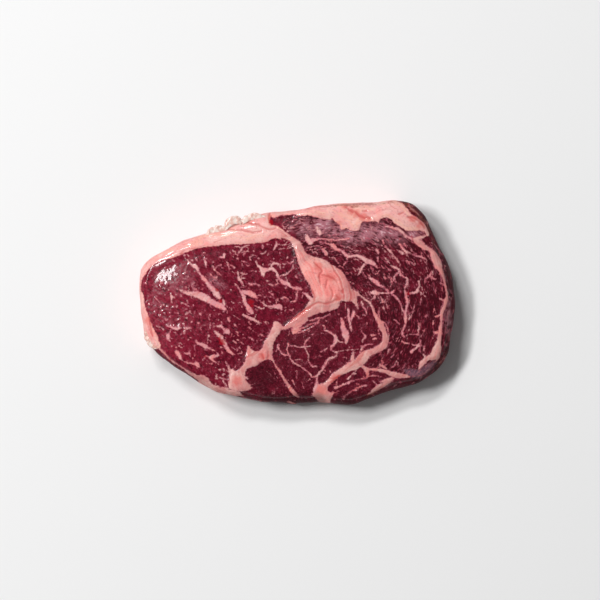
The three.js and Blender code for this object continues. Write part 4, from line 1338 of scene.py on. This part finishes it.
@dataclass(frozen=True)
class WetMeat:
    """Fresh cut beef: lean muscle and firm fat under a film of its own juice.

    The juice makes it glossy, with small sharp lights; the meat under it scatters light a little way in. With
    no coat and a higher roughness it is the side, where the juice has dried off.
    """

    name: str = "fresh_cut_beef"
    loin_lean: str = "690D23"
    # The cap's own deeper red, made darker as painted shade of the right side, away from the lamps.
    cap_lean_and_shade: str = "4B0D1A"
    inner_lean: str = "5D1021"
    deep_lean: str = "340510"
    bright_lean: str = "901B34"
    fibre_pale: str = "B0606F"
    streak_edge: str = "A24759"
    streak: str = "DB9297"
    kernel: str = "F6938D"
    seam: str = "D38A87"
    rind: str = "EBA7A3"
    pale_fat: str = "F8D2C6"
    warm_fat: str = "F0B497"
    crease: str = "C04442"
    flush: str = "DC6F68"
    blood: str = "A2081C"
    silverskin: str = "BC7884"
    # Painted sheen: pale reflected light laid over the wet muscle.
    painted_pale_sheen: str = "E2BEC4"
    blue_film: str = "6C4B5B"
    # Dried brown, made darker as painted shade on the rim.
    dried: str = "8C4535"
    values: tuple[str, ...] = (
        "fat", "fat_kind", "crease", "dried", "blood", "sheen_and_silverskin", "film", "painted_lit_side", "muscle", "painted_low_shade", "flush",
        "dark",
    )
    # Real fibres are about 0.1 mm wide. Fibres and grit are drawn coarser, because finer ones don't show.
    patterns: tuple[Pattern, ...] = (
        Pattern("bundles", Space.GRAIN, 1.3, 2.0, 0.5),
        Pattern("fibres", Space.GRAIN, 0.55, 2.0, 0.3),
        Pattern("threads", Space.GRAIN, 0.9, 1.0, 0.8),
        Pattern("bands", Space.LAYERS, 0.9, 3.0, 0.3),
        Pattern("folds", Space.LAYERS, 2.6, 2.0, 0.8),
        Pattern("patches", Space.OBJECT, 9.0, 2.0, 0.4),
        Pattern("clumps", Space.OBJECT, 2.6, 2.0, 0.4),
        Pattern("nibbles", Space.OBJECT, 1.1, 2.0, 0.2),
        Pattern("grit", Space.OBJECT, 0.55, 2.0, 0.0),
    )
    dot_gap: float = 1.7  # mm between the finest dots of fat
    ragged: Shares = (("clumps", 0.5), ("nibbles", 0.9), ("grit", 0.5), ("fibres", 0.6))
    relief: Shares = (("bundles", 0.5), ("fibres", 0.1), ("clumps", 1.2), ("grit", 0.04))
    edge_relief: float = 0.6
    bump: float = 0.12  # mm, how high a relief of 1 is
    roughness: float = 0.27
    unevenness: float = 0.25  # how much the roughness changes from place to place
    crust_nibbles: float = 2.0  # how much the edge of the dried brown and its painted shade is broken up
    flush_clumps: float = 1.6  # how much the flush in the fat is
    ior: float = 1.4
    specular: float = 0.16
    coat: float = 0.3
    coat_roughness: float = 0.08
    scatter: float = 0.1
    scatter_depth: float = 0.8  # mm
    scatter_spread: tuple[float, float, float] = (1.0, 0.35, 0.25)  # of red, green and blue light

    def make(self) -> bpy.types.Material:
        """Makes the material.

        Returns:
            The finished material.
        """
        material = new_material(self.name)
        tree = material.node_tree
        plan = {
            name: add_node(tree, "ShaderNodeAttribute", out=ATTRIBUTE_VALUE, attribute_name=name)
            for name in self.values
        }
        noises = self._noises(tree)
        depth = self._ragged(tree, plan["fat"], noises)
        # The dried brown edge, which is also painted shade on the rim.
        crust_and_shade = {0: noises["nibbles"], 1: self.crust_nibbles, 2: plan["dried"]}
        crust_and_shade = add_node(tree, "ShaderNodeMath", crust_and_shade, operation="MULTIPLY_ADD")
        layers = (
            Layer(depth, -0.2, 0.12, 1.0, self._tallow(tree, plan, noises, depth)),
            Layer(plan["film"], 0.0, 1.0, 0.4, self.blue_film),
            # Darker muscle, and painted shade along the bottom rim.
            Layer(plan["dark"], 0.0, 1.0, 0.5, self.deep_lean),
            Layer(plan["blood"], 0.1, 1.0, 0.8, self.blood),
            # Dried brown, and painted shade on the rim.
            Layer(crust_and_shade, 1.5, 2.2, 0.75, self.dried),
        )
        wetness = {0: noises["clumps"], 1: self.unevenness, 2: self.roughness - 0.5 * self.unevenness}
        shader = {
            "Base Color": paint(tree, self._lean(tree, plan, noises), layers),
            "Roughness": add_node(tree, "ShaderNodeMath", wetness, operation="MULTIPLY_ADD"),
            "Normal": self._bump(tree, depth, noises),
            "IOR": self.ior,
            "Specular IOR Level": self.specular,
            "Coat Weight": self.coat,
            "Coat Roughness": self.coat_roughness,
            "Subsurface Weight": self.scatter,
            "Subsurface Radius": self.scatter_spread,
            "Subsurface Scale": self.scatter_depth * MM,
        }
        shader = add_node(tree, "ShaderNodeBsdfPrincipled", shader)
        add_node(tree, "ShaderNodeOutputMaterial", {"Surface": shader})
        return material

    def _noises(self, tree: Tree) -> Sockets:
        """Makes the patterns that the meat's parts share.

        Args:
            tree: the node tree.

        Returns:
            The patterns by name.
        """
        spaces = {
            space: add_node(tree, "ShaderNodeAttribute", out="Vector", attribute_name=space.value)
            for space in (Space.GRAIN, Space.LAYERS)
        }
        spaces[Space.OBJECT] = add_node(tree, "ShaderNodeTexCoord", out="Object")
        made = {}
        for pattern in self.patterns:
            wave = pattern.wave * (MM if pattern.space is Space.OBJECT else 1)
            inputs = {"Vector": spaces[pattern.space], "Scale": 1 / wave}
            inputs |= {"Detail": pattern.detail, "Distortion": pattern.distortion}
            made[pattern.name] = add_node(tree, "ShaderNodeTexNoise", inputs)
        cells = {"Vector": spaces[Space.GRAIN], "Scale": 1 / self.dot_gap, "Randomness": 1.0}
        made["dots"] = add_node(tree, "ShaderNodeTexVoronoi", cells)
        return made

    def _ragged(self, tree: Tree, fat: Socket, noises: Sockets) -> Socket:
        """Makes the edges of the fat ragged.

        Args:
            tree: the node tree.
            fat: the depth in the fat, in millimetres.
            noises: the patterns.

        Returns:
            The depth with its edges moved in and out.
        """
        depth = fat
        for name, amount in self.ragged:
            moved = {0: noises[name], 1: amount, 2: -0.5 * amount}
            moved = add_node(tree, "ShaderNodeMath", moved, operation="MULTIPLY_ADD")
            depth = add_node(tree, "ShaderNodeMath", {0: depth, 1: moved}, operation="ADD")
        return depth

    def _lean(self, tree: Tree, plan: Sockets, noises: Sockets) -> Socket:
        """Colours the muscle: dark and light bundles, pale threads, tiny dots of fat, silverskin, and painted
        sheen, light and shade.

        Args:
            tree: the node tree.
            plan: the values kept on the mesh.
            noises: the patterns.

        Returns:
            The colour.
        """
        middle = add_node(tree, "ShaderNodeMath", {0: noises["threads"], 1: 0.5}, operation="SUBTRACT")
        thread = add_node(tree, "ShaderNodeMath", {0: middle}, operation="ABSOLUTE")
        woven = add_node(tree, "ShaderNodeMath", {0: noises["clumps"], 1: noises["fibres"]}, operation="ADD")
        some, veil, sheen = (
            add_node(
                tree,
                "ShaderNodeMapRange",
                {"Value": value, "From Min": low, "From Max": high, "To Max": strength},
                interpolation_type="SMOOTHSTEP",
            )
            for value, low, high, strength in (
                (noises["clumps"], 0.45, 0.7, 0.6),
                (woven, 0.65, 1.05, plan["sheen_and_silverskin"]),
                (woven, 1.05, 1.3, plan["sheen_and_silverskin"]),
            )
        )
        layers = (
            # The cap: its own deeper red, and painted shade of the right side.
            Layer(plan["muscle"], 0.4, 0.6, 1.0, self.cap_lean_and_shade),
            Layer(plan["muscle"], 1.4, 1.6, 1.0, self.inner_lean),
            # Painted light: the lean is brighter on the left and along the rind.
            Layer(plan["painted_lit_side"], 0.0, 1.0, 0.75, self.bright_lean),
            Layer(noises["patches"], 0.5, 0.7, 0.35, self.bright_lean),
            Layer(noises["bundles"], 0.5, 0.3, 0.75, self.deep_lean),
            Layer(noises["clumps"], 0.5, 0.36, 0.3, self.deep_lean),
            Layer(noises["nibbles"], 0.5, 0.34, 0.35, self.deep_lean),
            Layer(noises["fibres"], 0.52, 0.68, 0.6, self.bright_lean),
            Layer(noises["fibres"], 0.6, 0.76, 0.3, self.fibre_pale),
            # Silverskin, with a painted sheen of pale reflected light over it.
            Layer(veil, 0.0, 1.0, 0.85, self.silverskin),
            Layer(sheen, 0.0, 1.0, 0.8, self.painted_pale_sheen),
            Layer(plan["film"], 0.0, 1.0, 0.85, self.blue_film),
            Layer(thread, 0.1, 0.0, plan["film"], self.silverskin),
            Layer(thread, 0.035, 0.005, some, self.fibre_pale),
            Layer(noises["dots"], 0.24, 0.1, some, self.fibre_pale),
            # Painted shade: the lower side is darkened.
            Layer(plan["painted_low_shade"], 0.0, 1.0, 0.4, self.deep_lean),
        )
        return paint(tree, self.loin_lean, layers)

    def _tallow(self, tree: Tree, plan: Sockets, noises: Sockets, depth: Socket) -> Socket:
        """Colours the fat: thin streaks show the meat through; broad fat is layered, creased and flushed.

        Args:
            tree: the node tree.
            plan: the values kept on the mesh.
            noises: the patterns.
            depth: the depth in the fat, in millimetres.

        Returns:
            The colour.
        """
        red = {0: noises["clumps"], 1: self.flush_clumps, 2: plan["flush"]}
        red = add_node(tree, "ShaderNodeMath", red, operation="MULTIPLY_ADD")
        warm = {"Value": noises["folds"], "From Min": 0.42, "From Max": 0.6, "To Max": plan["fat_kind"]}
        warm = add_node(tree, "ShaderNodeMapRange", warm, interpolation_type="SMOOTHSTEP")
        layers = (
            Layer(depth, 0.02, 0.6, 1.0, self.streak),
            Layer(plan["fat_kind"], 0.1, 0.3, 1.0, self.seam),
            Layer(plan["fat_kind"], 0.35, 0.5, 1.0, self.kernel),
            Layer(plan["fat_kind"], 0.55, 0.95, 1.0, self.rind),
            Layer(noises["patches"], 0.48, 0.62, 0.3, self.pale_fat),
            Layer(noises["patches"], 0.45, 0.34, 0.4, self.kernel),
            Layer(noises["bands"], 0.5, 0.72, 0.4, self.pale_fat),
            Layer(noises["bands"], 0.46, 0.3, 0.35, self.kernel),
            Layer(warm, 0.4, 1.0, 0.35, self.warm_fat),
            Layer(noises["nibbles"], 0.46, 0.32, 0.25, self.streak_edge),
            Layer(noises["fibres"], 0.46, 0.32, 0.2, self.streak_edge),
            Layer(red, 0.9, 2.0, 0.7, self.flush),
            Layer(noises["folds"], 0.42, 0.28, 0.55, self.crease),
            Layer(depth, 0.5, 0.0, 0.5, self.streak_edge),
            Layer(plan["crease"], -0.6, 0.5, 0.7, self.crease),
        )
        return paint(tree, self.streak_edge, layers)

    def _bump(self, tree: Tree, depth: Socket, noises: Sockets) -> Socket:
        """Raises the fat's edges, the fibres and the fine grain.

        Args:
            tree: the node tree.
            depth: the depth in the fat, in millimetres.
            noises: the patterns.

        Returns:
            The normal.
        """
        edge = {"Value": depth, "From Min": -0.25, "From Max": 0.35, "To Max": self.edge_relief}
        height = add_node(tree, "ShaderNodeMapRange", edge, interpolation_type="SMOOTHSTEP")
        for name, amount in self.relief:
            inputs = {0: noises[name], 1: amount, 2: height}
            height = add_node(tree, "ShaderNodeMath", inputs, operation="MULTIPLY_ADD")
        return add_node(tree, "ShaderNodeBump", {"Height": height, "Distance": self.bump * MM})


@dataclass(frozen=True)
class SoftBox:
    """A soft light that faces the steak from the upper left."""

    name: str
    lean: float  # degrees off the vertical
    turn: float  # degrees round from +X
    distance: float  # m
    width: float  # m
    height: float  # m
    power: float  # W

    def build(self) -> None:
        """Hangs the light."""
        lamp = bpy.data.lights.new(self.name, "AREA")
        lamp.shape = "RECTANGLE"
        lamp.size = self.width
        lamp.size_y = self.height
        lamp.energy = self.power
        box = new_object(self.name, lamp)
        lean, turn = math.radians(self.lean), math.radians(self.turn)
        aim = Vector((math.sin(lean) * math.cos(turn), math.sin(lean) * math.sin(turn), math.cos(lean)))
        box.location = self.distance * aim
        box.rotation_euler = box.location.to_track_quat("Z", "Y").to_euler()


@dataclass(frozen=True)
class Studio:
    """The pale floor, the soft lights and the camera straight above the steak."""

    floor_side: float = 6.0  # m
    floor: str = "EDEDED"
    floor_roughness: float = 0.9
    floor_specular: float = 0.1
    view_width: float = PHOTO_SIDE_PX * PIXEL_MM * MM  # what the frame spans at the upper face
    camera_height: float = 3.0  # m over the upper face
    face_height: float = 0.024  # m
    sensor: float = 36.0  # mm
    sky: float = 0.15
    lights: tuple[SoftBox, ...] = (
        SoftBox("key", 33, 160, 2.5, 0.72, 0.28, 38.0),
        SoftBox("strip", 36, 121, 2.5, 0.66, 0.26, 25.0),
        SoftBox("broad", 38, 140, 6.0, 4.5, 4.5, 22.0),
    )

    def build(self) -> None:
        """Builds the floor, the lights, the sky and the camera."""
        self._floor()
        for light in self.lights:
            light.build()
        self._sky()
        self._camera()
        bpy.context.scene.view_settings.view_transform = "Standard"
        LOG.info("studio: %d lights", len(self.lights))

    def _floor(self) -> None:
        """Lays the floor under the steak: matt paper, pale and without a gloss."""
        plate = bmesh.new()
        bmesh.ops.create_grid(plate, x_segments=1, y_segments=1, size=self.floor_side / 2)
        floor = shell_object("studio_floor", plate)
        material = new_material("matt_paper")
        shader = {
            "Base Color": to_linear(self.floor),
            "Roughness": self.floor_roughness,
            "Specular IOR Level": self.floor_specular,
        }
        shader = add_node(material.node_tree, "ShaderNodeBsdfPrincipled", shader)
        add_node(material.node_tree, "ShaderNodeOutputMaterial", {"Surface": shader})
        floor.data.materials.append(material)

    def _sky(self) -> None:
        """Lights everything evenly from all round."""
        world = bpy.data.worlds.new("soft_sky")
        world.use_nodes = True
        inputs = world.node_tree.nodes["Background"].inputs
        inputs["Color"].default_value = (1, 1, 1, 1)
        inputs["Strength"].default_value = self.sky
        bpy.context.scene.world = world

    def _camera(self) -> None:
        """Hangs the camera over the middle of the photograph."""
        x, y = to_mm([(PHOTO_SIDE_PX / 2, PHOTO_SIDE_PX / 2)])[0] * MM
        lens = bpy.data.cameras.new("overhead")
        lens.sensor_width = self.sensor
        lens.lens = self.sensor * self.camera_height / self.view_width
        camera = new_object("overhead", lens)
        camera.location = (x, y, self.face_height + self.camera_height)
        bpy.context.scene.camera = camera


def main() -> None:
    """Builds the steak and the studio, and logs how many faces the steak and the membranes have."""
    logging.basicConfig(level=logging.INFO, format="%(message)s")
    steak = MeatSkin().build()
    steak.data.materials.append(WetMeat().make())
    steak.data.materials.append(WetMeat("drier_beef_side", roughness=0.5, specular=0.03, coat=0.0).make())
    LOG.info("%s: %d triangles", steak.name, len(steak.data.polygons))
    membranes = Membranes().build()
    membranes.data.materials.append(ThinMembrane().make())
    LOG.info("%s: %d faces", membranes.name, len(membranes.data.polygons))
    Studio().build()


if __name__ == "__main__":
    main()
